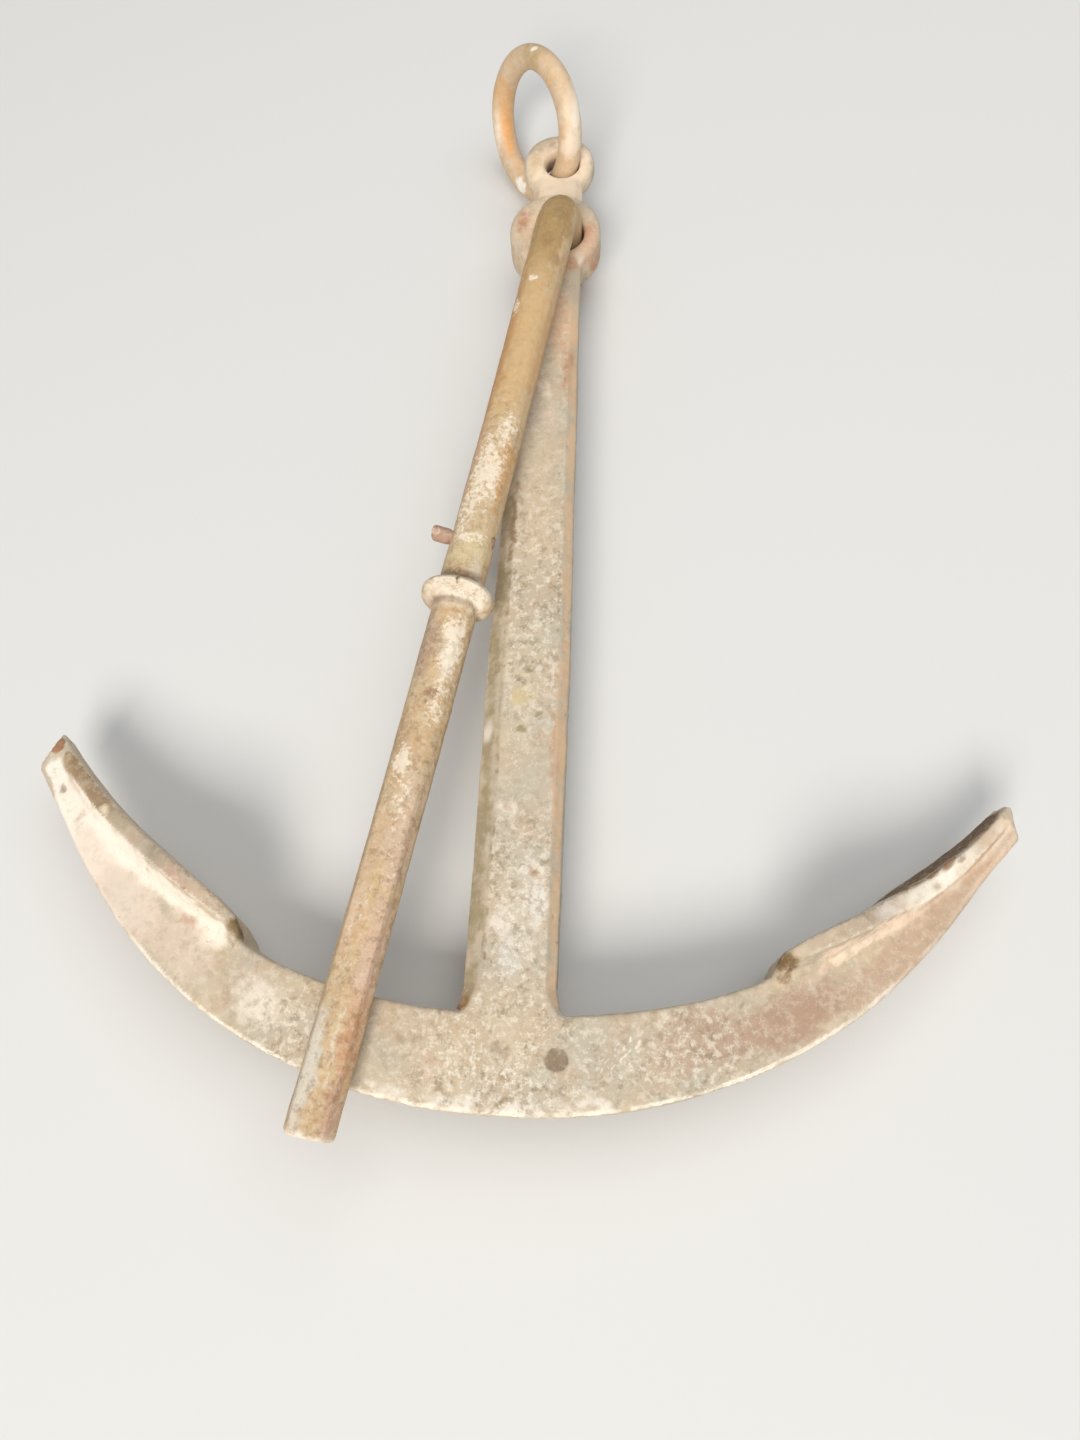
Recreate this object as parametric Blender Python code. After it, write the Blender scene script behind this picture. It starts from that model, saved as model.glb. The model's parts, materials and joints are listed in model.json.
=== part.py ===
"""Small forged boat anchor of the Admiralty pattern, lying on its side with its iron stock folded.

Metres, +Z up.  The arms lie along X, the shank runs along +Y from the crown to the ring, and the
anchor rests on the lower edges of its two palms and on the lower end of the stock's short leg.
The origin is on the ground, under the middle of the whole anchor.

Every shape below is first given in the crown's own frame: x = 0 on the shank's centre line,
y = 0 at the lowest point of the crown's outer arc, z = 0 on the anchor's middle plane.
"""

import math

import bmesh
import bpy
import numpy as np
from mathutils import Matrix, Vector

MM = 0.001
RUNNING_GAP = 0.3 * MM

# Arms: a bar whose outer edge follows one arc.  The palms are forged on the side towards the ring.
ARM_ARC_RADIUS = 260.5 * MM
ARM_EDGE_CHAMFER = 2.0 * MM
ARM_STEP_DEG = 1.8
PALM_HALF_WIDTH = 33.2 * MM
PALM_EDGE_CHAMFER = 1.1 * MM
PALM_EDGE_CHAMFER_SHARE = 0.4
PALM_FACE_SHARE = 0.45
PALM_START_DEG = (32.0, 35.0)
FLARE_SHARES = ((0.42, 0.16), (0.76, 0.52))

# The arms are not twins.  Reach stretches the table's angles, set is how much the palm's upper half
# stands nearer to the ring than its lower half, skew moves the lower half towards the bill, and
# drop moves the palm away from the ring.
LEFT_REACH = 1.034
LEFT_PALM_SET = 0.09
LEFT_PALM_SKEW_DEG = 2.2
LEFT_SKEW_END_DEG = (60.0, 44.0)
RIGHT_REACH = 0.965
RIGHT_PALM_DROP = 3.6 * MM
RIGHT_DROP_DEG = (34.0, 44.0)
RIGHT_BILL_SET = -0.17
RIGHT_BILL_SET_DEG = (47.0, 54.0)

# One arm from the crown to the bill.  Angle along the arc in degrees, then in millimetres: outer
# radius, radius of the inner face, radius of the foot of the flare under the palm, half thickness
# of the arm, half width of the palm, thickness of the palm's edge.  FLARE_SHARES bend the flare
# between its foot and the palm: how far each point has come in depth and in width.
ARM_STATIONS = (
    # angle  outer  inner  flare  arm   palm  edge
    (0.0, 260.5, 216.7, 238.0, 16.0, 16.0, 3.0),
    (10.0, 261.5, 219.0, 239.0, 15.9, 15.9, 3.0),
    (20.0, 262.3, 222.8, 241.0, 15.7, 15.7, 3.0),
    (28.0, 262.8, 226.8, 240.0, 15.3, 15.3, 3.0),
    (32.2, 263.0, 228.4, 236.0, 15.0, 15.0, 3.0),
    (33.1, 263.0, 226.0, 234.4, 14.9, 19.5, 4.2),
    (34.6, 263.0, 222.4, 233.0, 14.8, 23.5, 5.6),
    (37.0, 263.0, 221.9, 233.8, 14.5, 29.5, 7.0),
    (40.4, 262.9, 223.0, 237.2, 14.0, 33.2, 7.8),
    (44.0, 262.6, 224.9, 241.2, 13.5, 32.0, 8.4),
    (47.5, 262.2, 227.4, 245.0, 12.9, 25.0, 8.7),
    (51.5, 262.0, 231.4, 248.8, 12.2, 20.4, 8.8),
    (55.5, 262.2, 236.3, 252.2, 11.2, 17.0, 8.4),
    (59.5, 263.6, 241.9, 255.8, 10.0, 14.2, 7.4),
    (62.5, 265.6, 246.6, 258.8, 8.9, 11.4, 6.0),
    (65.9, 268.2, 252.7, 262.8, 7.2, 7.8, 4.0),
)
BILL_LEAN_DEG = 3.0
BILL_LEAN_START_DEG = 57.0

# Shank, one forged bar along +Y, in millimetres: y, x of its centre, half width, half thickness,
# width of the left and of the right chamfer, depth of the chamfers.
SHANK_STATIONS = (
    (24.0, 0.0, 23.0, 15.2, 3.0, 3.0, 3.0),
    (43.0, 0.3, 25.4, 15.5, 3.0, 3.0, 3.0),
    (48.0, 0.0, 22.8, 15.6, 5.0, 4.0, 4.0),
    (56.0, -0.3, 21.4, 15.6, 8.5, 5.0, 5.5),
    (140.0, -0.3, 21.1, 15.0, 9.0, 5.0, 6.0),
    (230.0, -0.3, 20.9, 15.0, 9.0, 5.0, 6.0),
    (300.0, -0.1, 19.4, 14.3, 8.0, 5.0, 6.0),
    (390.0, 0.2, 17.8, 13.8, 7.0, 5.0, 5.5),
    (450.0, 0.4, 16.6, 13.0, 6.0, 5.0, 4.5),
    (500.0, 0.5, 16.2, 12.2, 5.0, 5.0, 4.0),
    (534.0, 0.5, 15.4, 9.8, 4.5, 4.5, 4.0),
    (552.0, 0.4, 14.5, 7.4, 4.0, 4.0, 3.6),
)

# Head: two discs upset on the shank's end, a boss with the stock's eye and a rounder lug with the
# ring's hole.  Their rims are given as height from the middle plane and drop of the radius.
BOSS_CENTRE = Vector((0.6 * MM, 501.6 * MM, 0.0))
BOSS_RADIUS = 27.4 * MM
BOSS_RIM = ((9.4, 0.0), (12.0, 1.4), (13.0, 4.2))
LUG_CENTRE = Vector((0.3 * MM, 561.6 * MM, 0.0))
LUG_RADIUS = 22.3 * MM
LUG_RIM = ((3.2, 0.3), (6.0, 1.5), (8.0, 3.6), (9.0, 6.4))
DISC_SIDES = 40

# Round holes: the eye for the stock's short leg, the same above and below, and the ring's hole,
# which the leaning ring has worn wider below.  Each is given as height from the middle plane and
# radius, in millimetres.
EYE_CENTRE = Vector((3.4 * MM, 498.6 * MM, 0.0))
EYE_PROFILE = ((11.4, 14.7), (13.0, 16.2), (19.0, 22.0))
RING_HOLE_CENTRE = Vector((2.5 * MM, 556.6 * MM, 0.0))
RING_HOLE_PROFILE = (
    (-14.0, 20.6),
    (-9.0, 15.6),
    (-7.0, 13.5),
    (-5.0, 12.0),
    (-2.5, 10.4),
    (0.0, 9.4),
    (2.5, 9.4),
    (5.0, 10.1),
    (7.6, 10.9),
    (9.0, 11.8),
    (14.0, 17.0),
)
HOLE_SIDES = 32

# Stock: a round bar, bent above the eye, with a forged collar half way along its long leg.
STOCK_RADIUS = 11.5 * MM
STOCK_CORNER = Vector((5.3 * MM, 500.2 * MM, 32.9 * MM))
STOCK_BEND_RADIUS = 17.8 * MM
STOCK_BEND_STEPS = 8
STOCK_END = Vector((-81.3 * MM, -12.9 * MM, 27.9 * MM))
STOCK_BOW = 1.9 * MM
STOCK_END_CHAMFER = 1.5 * MM
STOCK_SIDES = 16
STOCK_UPPER_SHARES = (0.14, 0.3)
STOCK_LOWER_SHARES = (0.62, 0.72, 0.86)
COLLAR_FROM_END = 259.8 * MM
COLLAR_RADIUS = 18.6 * MM
COLLAR_HALF_LENGTH = 6.4 * MM
COLLAR_STEPS = 8

# Key: a round pin through the stock, one eye thickness above the collar.
KEY_FROM_COLLAR = 33.6 * MM
KEY_RADIUS = 3.5 * MM
KEY_STANDS_OUT = 10.6 * MM
KEY_SUNK = 0.4 * MM
KEY_END_CHAMFER = 0.8 * MM
KEY_SIDES = 12
KEY_BOSS_REACH = 8.0 * MM
KEY_CUTTER_REACH = 30.0 * MM

# Ring: round rod through the lug's hole, swung to the left and leaning to the right.
RING_ROD_PLACE = Vector((4.0 * MM, 555.5 * MM, 4.6 * MM))
RING_RADIUS = 37.4 * MM
RING_ROD_RADIUS = 7.2 * MM
RING_SWING_DEG = 32.0
RING_TILT_DEG = 8.0
RING_LEAN_DEG = 18.0
RING_STEPS = 44
RING_ROD_SIDES = 12

IRON_COLOURS = {
    "anchor_iron": (0.42, 0.34, 0.26, 1.0),
    "ring_iron": (0.46, 0.36, 0.26, 1.0),
    "stock_iron": (0.40, 0.31, 0.21, 1.0),
    "key_iron": (0.36, 0.24, 0.18, 1.0),
}


def clear_scene():
    """Remove every object, so that the script can be run again."""
    for old in list(bpy.data.objects):
        bpy.data.objects.remove(old, do_unlink=True)


def iron(name):
    """Weathered iron: dull, rough, hardly metallic under its rust."""
    material = bpy.data.materials.new(name)
    material.use_nodes = True
    shader = material.node_tree.nodes["Principled BSDF"]
    shader.inputs["Base Color"].default_value = IRON_COLOURS[name]
    shader.inputs["Roughness"].default_value = 0.8
    shader.inputs["Metallic"].default_value = 0.35
    return material


def add_object(name, bm, material=None):
    """Turn a bmesh into an object whose faces point outwards."""
    bmesh.ops.recalc_face_normals(bm, faces=bm.faces)
    mesh = bpy.data.meshes.new(name)
    bm.to_mesh(mesh)
    bm.free()
    piece = bpy.data.objects.new(name, mesh)
    bpy.context.collection.objects.link(piece)
    if material:
        mesh.materials.append(material)
    return piece


def loft(sections):
    """Skin a closed tube through equal rings of points, with a flat face at each end."""
    bm = bmesh.new()
    rings = [[bm.verts.new(point) for point in section] for section in sections]
    for lower, upper in zip(rings, rings[1:]):
        for here in range(len(lower)):
            after = (here + 1) % len(lower)
            bm.faces.new((lower[here], lower[after], upper[after], upper[here]))
    bm.faces.new(reversed(rings[0]))
    bm.faces.new(rings[-1])
    return bm


def boolean(target, tool, operation):
    """Join a piece to the target, or cut it away, and leave one mesh."""
    modifier = target.modifiers.new(operation, "BOOLEAN")
    modifier.operation = operation
    modifier.solver = "EXACT"
    modifier.object = tool
    bpy.context.view_layer.objects.active = target
    with bpy.context.temp_override(object=target, active_object=target):
        bpy.ops.object.modifier_apply(modifier=modifier.name)
    bpy.data.objects.remove(tool, do_unlink=True)


def shade(piece, sharp_deg=35.0):
    """Smooth shading, with the forged edges left crisp."""
    piece.data.shade_smooth()
    piece.data.set_sharp_from_angle(angle=math.radians(sharp_deg))


def smooth_table(table, step):
    """Read a table of stations as smooth curves, at even steps and at every station."""
    rows = np.array(table, dtype=float)
    places = rows[:, 0]
    wanted = set(places)
    for low, high in zip(places, places[1:]):
        parts = max(1, round((high - low) / step))
        wanted.update(low + (high - low) * part / parts for part in range(parts))
    slopes = np.gradient(rows, places, axis=0)
    rises = np.diff(rows, axis=0) / np.diff(places)[:, None]
    flat = rises[:-1] * rises[1:] <= 0.0
    slopes[1:-1][flat] = 0.0
    result = []
    for place in sorted(wanted):
        index = min(np.searchsorted(places, place, side="right") - 1, len(places) - 2)
        span = places[index + 1] - places[index]
        t = (place - places[index]) / span
        h00 = 2 * t**3 - 3 * t**2 + 1
        h10 = t**3 - 2 * t**2 + t
        h01 = 3 * t**2 - 2 * t**3
        h11 = t**3 - t**2
        row = h00 * rows[index] + h01 * rows[index + 1]
        row += span * (h10 * slopes[index] + h11 * slopes[index + 1])
        row[0] = place
        result.append(row)
    return result


def ramp(value, limits):
    """0 at the first limit, 1 at the second, and straight between them."""
    start, end = limits
    return min(1.0, max(0.0, (value - start) / (end - start)))


def arm_section(row, side):
    """Ring of points round one cross-section of an arm.  side is -1 on the left, 1 on the right."""
    angle = row[0]
    outer, inner, flare, arm, palm, edge = row[1:] * MM
    if side < 0:
        reach = LEFT_REACH
        face_set = LEFT_PALM_SET * ramp(angle, PALM_START_DEG)
        skew = LEFT_PALM_SKEW_DEG * ramp(angle, PALM_START_DEG) * ramp(angle, LEFT_SKEW_END_DEG)
    else:
        reach = RIGHT_REACH
        face_set = RIGHT_BILL_SET * ramp(angle, RIGHT_BILL_SET_DEG)
        skew = 0.0
        inner += RIGHT_PALM_DROP * ramp(angle, RIGHT_DROP_DEG)
    under = inner + edge
    corner = min(PALM_EDGE_CHAMFER, PALM_EDGE_CHAMFER_SHARE * edge)
    # Radius, height from the middle plane, and how much of the palm's set and skew moves the point.
    half = [
        (outer, arm - ARM_EDGE_CHAMFER, 0.0),
        (outer - ARM_EDGE_CHAMFER, arm, 0.0),
        (flare, arm, 0.0),
    ]
    for deep, wide in FLARE_SHARES:
        half.append((flare + deep * (under - flare), arm + wide * (palm - arm), deep))
    half += [
        (under, palm, 1.0),
        (inner + corner, palm, 1.0),
        (inner, palm - corner, 1.0),
        (inner, PALM_FACE_SHARE * palm, 1.0),
    ]
    far_side = [(radius, -z, share) for radius, z, share in reversed(half)]
    lean = BILL_LEAN_DEG * ramp(angle, (BILL_LEAN_START_DEG, ARM_STATIONS[-1][0])) ** 2
    points = []
    for radius, z, share in half + far_side:
        depth = (outer - radius) / (outer - inner)
        aside = skew * share * max(0.0, -z / PALM_HALF_WIDTH)
        turn = math.radians(angle * reach + lean * (depth - 0.5) + aside)
        reached = radius - face_set * share * z
        points.append((side * reached * math.sin(turn), ARM_ARC_RADIUS - reached * math.cos(turn), z))
    return points


def make_arms():
    """Both arms with their palms, from the left bill through the crown to the right bill."""
    rows = smooth_table(ARM_STATIONS, ARM_STEP_DEG)
    left = [arm_section(row, -1) for row in reversed(rows[1:])]
    right = [arm_section(row, 1) for row in rows]
    return add_object("arms", loft(left + right))


def bar_section(y, centre, half_width, half_thickness, left, right, depth):
    """Rectangle with chamfered corners, standing across the shank's length."""
    x_left = centre - half_width
    x_right = centre + half_width
    z_side = half_thickness - depth
    return [
        (x_left + left, y, half_thickness),
        (x_right - right, y, half_thickness),
        (x_right, y, z_side),
        (x_right, y, -z_side),
        (x_right - right, y, -half_thickness),
        (x_left + left, y, -half_thickness),
        (x_left, y, -z_side),
        (x_left, y, z_side),
    ]


def make_shank():
    """The shank from inside the crown to inside the lug, as one bar."""
    sections = []
    for row in SHANK_STATIONS:
        sections.append(bar_section(*(value * MM for value in row)))
    return add_object("shank", loft(sections))


def turned_piece(name, centre, profile, sides):
    """A round piece about a line along Z, from heights and radii in millimetres."""
    turns = [2 * math.pi * (index + 0.5) / sides for index in range(sides)]
    circle = [Vector((math.cos(t), math.sin(t), 0.0)) for t in turns]
    rings = []
    for height, radius in profile:
        level = centre + Vector((0.0, 0.0, height * MM))
        rings.append([level + point * radius * MM for point in circle])
    return add_object(name, loft(rings))


def above_and_below(half_profile):
    """A profile that is the same on both sides of the middle plane."""
    below = [(-height, radius) for height, radius in reversed(half_profile)]
    return below + list(half_profile)


def make_disc(name, centre, radius, rim):
    """A forged disc with a rounded rim."""
    half_profile = [(height, radius / MM - drop) for height, drop in rim]
    return turned_piece(name, centre, above_and_below(half_profile), DISC_SIDES)


def make_anchor_body():
    """Arms, palms, shank, boss and lug forged into one, with the eye and the ring's hole."""
    body = make_arms()
    body.name = "anchor_body"
    boolean(body, make_shank(), "UNION")
    boolean(body, make_disc("boss", BOSS_CENTRE, BOSS_RADIUS, BOSS_RIM), "UNION")
    boolean(body, make_disc("lug", LUG_CENTRE, LUG_RADIUS, LUG_RIM), "UNION")
    eye = turned_piece("eye_cutter", EYE_CENTRE, above_and_below(EYE_PROFILE), HOLE_SIDES)
    boolean(body, eye, "DIFFERENCE")
    hole = turned_piece("ring_hole_cutter", RING_HOLE_CENTRE, RING_HOLE_PROFILE, HOLE_SIDES)
    boolean(body, hole, "DIFFERENCE")
    body.data.materials.clear()
    body.data.materials.append(iron("anchor_iron"))
    shade(body)
    return body


def stock_frame():
    """Corner of the two legs' centre lines, the long leg's direction and its length."""
    run = STOCK_END - STOCK_CORNER
    return STOCK_CORNER, run.normalized(), run.length


def stock_centre(distance):
    """Point on the long leg's centre line, which is bowed a little to the right."""
    corner, along, length = stock_frame()
    across = Vector((-along.y, along.x, 0.0)).normalized()
    bow = STOCK_BOW * math.sin(math.pi * distance / length)
    return corner + along * distance + across * bow


def rod_ring(centre, along, across, radius, sides):
    """Ring of points round a rod, counted from the side that across points to."""
    other = along.cross(across).normalized()
    turns = [2 * math.pi * (index + 0.5) / sides for index in range(sides)]
    return [centre + across * radius * math.cos(t) + other * radius * math.sin(t) for t in turns]


def bend_rings(across):
    """Short leg and bend of the stock, from the leg's lower end to the start of the long leg."""
    corner, along, _ = stock_frame()
    upward = Vector((0, 0, 1))
    turn = upward.angle(along)
    bend_start = corner - upward * STOCK_BEND_RADIUS * math.tan(turn / 2)
    towards = (along - upward * along.dot(upward)).normalized()
    foot = Vector((corner.x, corner.y, -PALM_HALF_WIDTH))
    narrow = STOCK_RADIUS - STOCK_END_CHAMFER
    rings = [
        rod_ring(foot, upward, across, narrow, STOCK_SIDES),
        rod_ring(foot + upward * STOCK_END_CHAMFER, upward, across, STOCK_RADIUS, STOCK_SIDES),
    ]
    for step in range(STOCK_BEND_STEPS + 1):
        t = turn * step / STOCK_BEND_STEPS
        place = bend_start + towards * STOCK_BEND_RADIUS * (1 - math.cos(t))
        place += upward * STOCK_BEND_RADIUS * math.sin(t)
        heading = upward * math.cos(t) + towards * math.sin(t)
        rings.append(rod_ring(place, heading, across, STOCK_RADIUS, STOCK_SIDES))
    return rings


def collar_stations(collar_at):
    """Distance along the long leg and radius, over the round swell of the collar."""
    swell = []
    for step in range(COLLAR_STEPS + 1):
        t = math.pi * step / COLLAR_STEPS
        rise = (COLLAR_RADIUS - STOCK_RADIUS) * math.sin(t)
        swell.append((collar_at - COLLAR_HALF_LENGTH * math.cos(t), STOCK_RADIUS + rise))
    return swell


def make_stock():
    """Short leg, bend, long leg and collar as one bar."""
    _, along, length = stock_frame()
    across = Vector((-along.y, along.x, 0.0)).normalized()
    collar_at = length - COLLAR_FROM_END
    key_at = collar_at - KEY_FROM_COLLAR
    stations = [(share * length, STOCK_RADIUS) for share in STOCK_UPPER_SHARES]
    stations += [(key_at + side * KEY_BOSS_REACH, STOCK_RADIUS) for side in (-1, 1)]
    stations += collar_stations(collar_at)
    stations += [(share * length, STOCK_RADIUS) for share in STOCK_LOWER_SHARES]
    stations += [(length - STOCK_END_CHAMFER, STOCK_RADIUS), (length, STOCK_RADIUS - STOCK_END_CHAMFER)]
    rings = bend_rings(across)
    for distance, radius in stations:
        rings.append(rod_ring(stock_centre(distance), along, across, radius, STOCK_SIDES))
    stock = add_object("stock", loft(rings))
    hole = key_rings(KEY_RADIUS + RUNNING_GAP, KEY_CUTTER_REACH, KEY_CUTTER_REACH, 0.0)
    cutter = add_object("key_hole_cutter", loft(hole))
    boolean(stock, cutter, "DIFFERENCE")
    stock.data.materials.clear()
    stock.data.materials.append(iron("stock_iron"))
    shade(stock)
    return stock


def key_frame():
    """Point where the key crosses the stock's centre line, and the way it pulls out."""
    _, along, length = stock_frame()
    crossing = stock_centre(length - COLLAR_FROM_END - KEY_FROM_COLLAR)
    outward = Vector((along.y, -along.x, 0.0)).normalized()
    return crossing, outward


def key_rings(radius, out_reach, in_reach, chamfer):
    """Rings of a round rod through the stock along the key's own line."""
    crossing, outward = key_frame()
    upward = Vector((0, 0, 1))
    stations = [(-in_reach, radius), (out_reach, radius)]
    if chamfer:
        stations = [(-in_reach, radius - chamfer), (-in_reach + chamfer, radius)]
        stations += [(out_reach - chamfer, radius), (out_reach, radius - chamfer)]
    rings = []
    for place, size in stations:
        rings.append(rod_ring(crossing + outward * place, outward, upward, size, KEY_SIDES))
    return rings


def make_key():
    """Round key through the stock, standing out on its left."""
    rings = key_rings(KEY_RADIUS, STOCK_RADIUS + KEY_STANDS_OUT, STOCK_RADIUS - KEY_SUNK, KEY_END_CHAMFER)
    key = add_object("stock_key", loft(rings), iron("key_iron"))
    shade(key)
    return key


def ring_axes():
    """Directions from the rod in the lug to the ring's centre, and up along the rod there."""
    swing, tilt, lean = (math.radians(angle) for angle in (RING_SWING_DEG, RING_TILT_DEG, RING_LEAN_DEG))
    outward = Vector((-math.sin(swing), math.cos(swing), 0.0))
    upward = Vector((0.0, 0.0, 1.0))
    across = outward.cross(upward)
    raised = outward * math.cos(tilt) + upward * math.sin(tilt)
    upright = upward * math.cos(tilt) - outward * math.sin(tilt)
    return raised, upright * math.cos(lean) + across * math.sin(lean)


def make_ring():
    """Round ring that hangs in the lug's hole, nearly upright."""
    bpy.ops.mesh.primitive_torus_add(
        major_radius=RING_RADIUS,
        minor_radius=RING_ROD_RADIUS,
        major_segments=RING_STEPS,
        minor_segments=RING_ROD_SIDES,
    )
    ring = bpy.context.active_object
    ring.name = "ring"
    ring.data.name = "ring"
    raised, upright = ring_axes()
    centre = RING_ROD_PLACE + raised * RING_RADIUS
    facing = raised.cross(upright)
    turn = Matrix((raised, upright, facing)).transposed().to_4x4()
    ring.data.transform(Matrix.Translation(centre) @ turn)
    ring.data.materials.append(iron("ring_iron"))
    ring.data.shade_smooth()
    return ring


def set_origin(piece, place):
    """Put the object's origin on its joint's axis without moving its shape."""
    piece.data.transform(Matrix.Translation(-place))
    piece.location = place


def place_on_ground(pieces):
    """Put the frame's origin on the ground under the middle of the whole anchor."""
    corners = []
    for piece in pieces:
        corners += [piece.location + vertex.co for vertex in piece.data.vertices]
    low = [min(corner[axis] for corner in corners) for axis in range(3)]
    high = [max(corner[axis] for corner in corners) for axis in range(3)]
    return Vector((-(low[0] + high[0]) / 2, -(low[1] + high[1]) / 2, -low[2]))


def main():
    """Build the four pieces and stand them in the anchor's own frame."""
    clear_scene()
    body = make_anchor_body()
    ring = make_ring()
    stock = make_stock()
    key = make_key()
    leg = Vector((STOCK_CORNER.x, STOCK_CORNER.y, 0.0))
    set_origin(ring, RING_HOLE_CENTRE)
    set_origin(stock, leg)
    crossing, outward = key_frame()
    set_origin(key, crossing)
    frame = bpy.data.objects.new("anchor_frame", None)
    bpy.context.collection.objects.link(frame)
    frame.location = place_on_ground((body, ring, stock, key))
    for piece in (body, ring, stock):
        piece.parent = frame
    key.parent = stock
    key.location = crossing - leg
    bpy.context.view_layer.update()
    print("ring axis", ring.matrix_world.translation)
    print("stock axis", stock.matrix_world.translation)
    print("key at", key.matrix_world.translation, "pulls out along", outward)


main()
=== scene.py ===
# %% [markdown]
# # An old boat anchor with a folding stock
# A small anchor of the Admiralty pattern lies on its side: one forging with two curved arms,
# two shield-shaped palms, a shank and a two-disc head, then a loose ring, an iron stock that is
# folded along the shank, and the key that stops the stock.  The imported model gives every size
# and place.  This script gives the iron its beaten, pitted surface and its rust and pale crust.

# %% Load the frame
import json
import math

import bpy
import numpy as np
from mathutils import Matrix, Vector, noise


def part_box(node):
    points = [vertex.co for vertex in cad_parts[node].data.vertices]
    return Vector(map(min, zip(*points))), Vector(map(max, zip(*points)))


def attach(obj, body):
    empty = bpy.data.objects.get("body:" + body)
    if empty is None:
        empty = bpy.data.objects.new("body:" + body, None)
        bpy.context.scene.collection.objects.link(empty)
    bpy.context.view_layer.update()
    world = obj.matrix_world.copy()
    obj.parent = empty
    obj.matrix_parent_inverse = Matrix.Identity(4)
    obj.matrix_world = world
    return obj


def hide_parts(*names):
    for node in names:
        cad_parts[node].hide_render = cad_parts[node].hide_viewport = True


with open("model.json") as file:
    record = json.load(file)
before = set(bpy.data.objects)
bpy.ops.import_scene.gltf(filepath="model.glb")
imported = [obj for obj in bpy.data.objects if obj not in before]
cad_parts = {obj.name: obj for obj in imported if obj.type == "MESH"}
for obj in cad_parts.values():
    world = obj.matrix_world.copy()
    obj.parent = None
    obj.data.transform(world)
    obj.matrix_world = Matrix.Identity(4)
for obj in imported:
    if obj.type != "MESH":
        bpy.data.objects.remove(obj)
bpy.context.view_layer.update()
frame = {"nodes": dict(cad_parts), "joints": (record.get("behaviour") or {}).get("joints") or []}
MM = 0.001

# %% [markdown]
# ## Where things are
# Wear and rust follow the way that the anchor is made, so places are told as a smith would: so
# many degrees round an arm, so far up the shank, so far down the stock.  Three small functions
# turn such a place into a point, starting from the frame's joints and boxes.

# %% Places on the anchor
joints = {joint["name"]: joint for joint in frame["joints"]}
ring_axis = Vector(joints["ring_swing"]["pos_m"])
stock_axis = Vector(joints["stock_swing"]["pos_m"])
key_pull = Vector(joints["key_pull"]["axis"])
body_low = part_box("anchor_body")[0]
stock_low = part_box("stock")[0]
middle = ring_axis.z
ARM_RADIUS = 260.5 * MM
HOLE_OFF_LINE = 2.5 * MM
BAR_HEIGHT = 32.9 * MM
BAR_FALL = 0.0096
crown = Vector((ring_axis.x - HOLE_OFF_LINE, body_low.y, middle))
arm_centre = crown + Vector((0, ARM_RADIUS, 0))
bar_along = Vector((-key_pull.y, key_pull.x, -BAR_FALL)).normalized()
bar_across = Vector((key_pull.x, key_pull.y, 0)).normalized() * -1
elbow = Vector((stock_axis.x, stock_axis.y, middle + BAR_HEIGHT))


def on_arm(degrees, radius, up=14):
    """Point on an arm: degrees to the right of the crown, mm from the arc's centre, mm up."""
    turn = math.radians(degrees)
    return arm_centre + Vector((math.sin(turn) * radius, -math.cos(turn) * radius, up)) * MM


def on_shank(along, across=0, up=15):
    """Point on the shank, head or ring: mm from the crown towards the ring, mm to the right, mm up."""
    return crown + Vector((across, along, up)) * MM


def on_stock(down, across=0, up=8):
    """Point on the stock's long leg: mm from the elbow, mm to the right, mm above its centre line."""
    return elbow + (bar_along * down + bar_across * across + Vector((0, 0, up))) * MM


print("crown at", tuple(crown), "elbow at", tuple(elbow), "stock runs along", tuple(bar_along))

# %% [markdown]
# ## Camera
# The anchor is seen from above its crown and a little from the right, with the camera tilted by
# about twenty degrees towards the head.  It is close, just over half a metre up, so the arms look
# larger than the head, and a wide lens is needed to take it all in.

# %% Camera
CAMERA_PLACE = Vector((0.0448, -0.3078, 0.5492))
CAMERA_PITCH_DEG = 20.5
CAMERA_SIDE_DEG = -3.51
CAMERA_ROLL_DEG = 1.72
LENS_MM = 27.05


def camera_axes(pitch, side, roll):
    """The camera's right, up and backward directions, from straight down with +Y up in the picture."""
    down = Vector((0, math.sin(pitch), -math.cos(pitch)))
    up = Vector((0, math.cos(pitch), math.sin(pitch)))
    right = Vector((1, 0, 0))
    ahead = down * math.cos(side) + right * math.sin(side)
    level = right * math.cos(side) - down * math.sin(side)
    rolled_level = level * math.cos(roll) + up * math.sin(roll)
    rolled_up = up * math.cos(roll) - level * math.sin(roll)
    return rolled_level, rolled_up, -ahead


camera_data = bpy.data.cameras.new("camera")
camera_data.lens = LENS_MM
camera_data.sensor_width = 36
camera_data.clip_start = 0.01
camera = bpy.data.objects.new("camera", camera_data)
bpy.context.scene.collection.objects.link(camera)
angles = [math.radians(angle) for angle in (CAMERA_PITCH_DEG, CAMERA_SIDE_DEG, CAMERA_ROLL_DEG)]
camera_turn = Matrix(camera_axes(*angles)).transposed().to_4x4()
camera.matrix_world = Matrix.Translation(CAMERA_PLACE) @ camera_turn
bpy.context.scene.camera = camera
print("camera", tuple(camera.location), "lens", LENS_MM, "mm")

# %% [markdown]
# ## Floor and light
# A plain pale floor, and soft light: one large lamp low beyond the crown, which models the bevels
# and the pits, a wide one overhead, and an even pale sky that fills the hollows.

# %% Floor and light
FLOOR_SIZE = 9.0
FLOOR_DROP = 0.3 * MM
FLOOR_TINT = (214, 213, 210)
SKY_STRENGTH = 0.33


def chip(red, green, blue):
    """A paint chart's 0 to 255 values as the linear colour that a shader takes."""
    return tuple(((part / 255 + 0.055) / 1.055) ** 2.4 for part in (red, green, blue)) + (1.0,)


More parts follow.
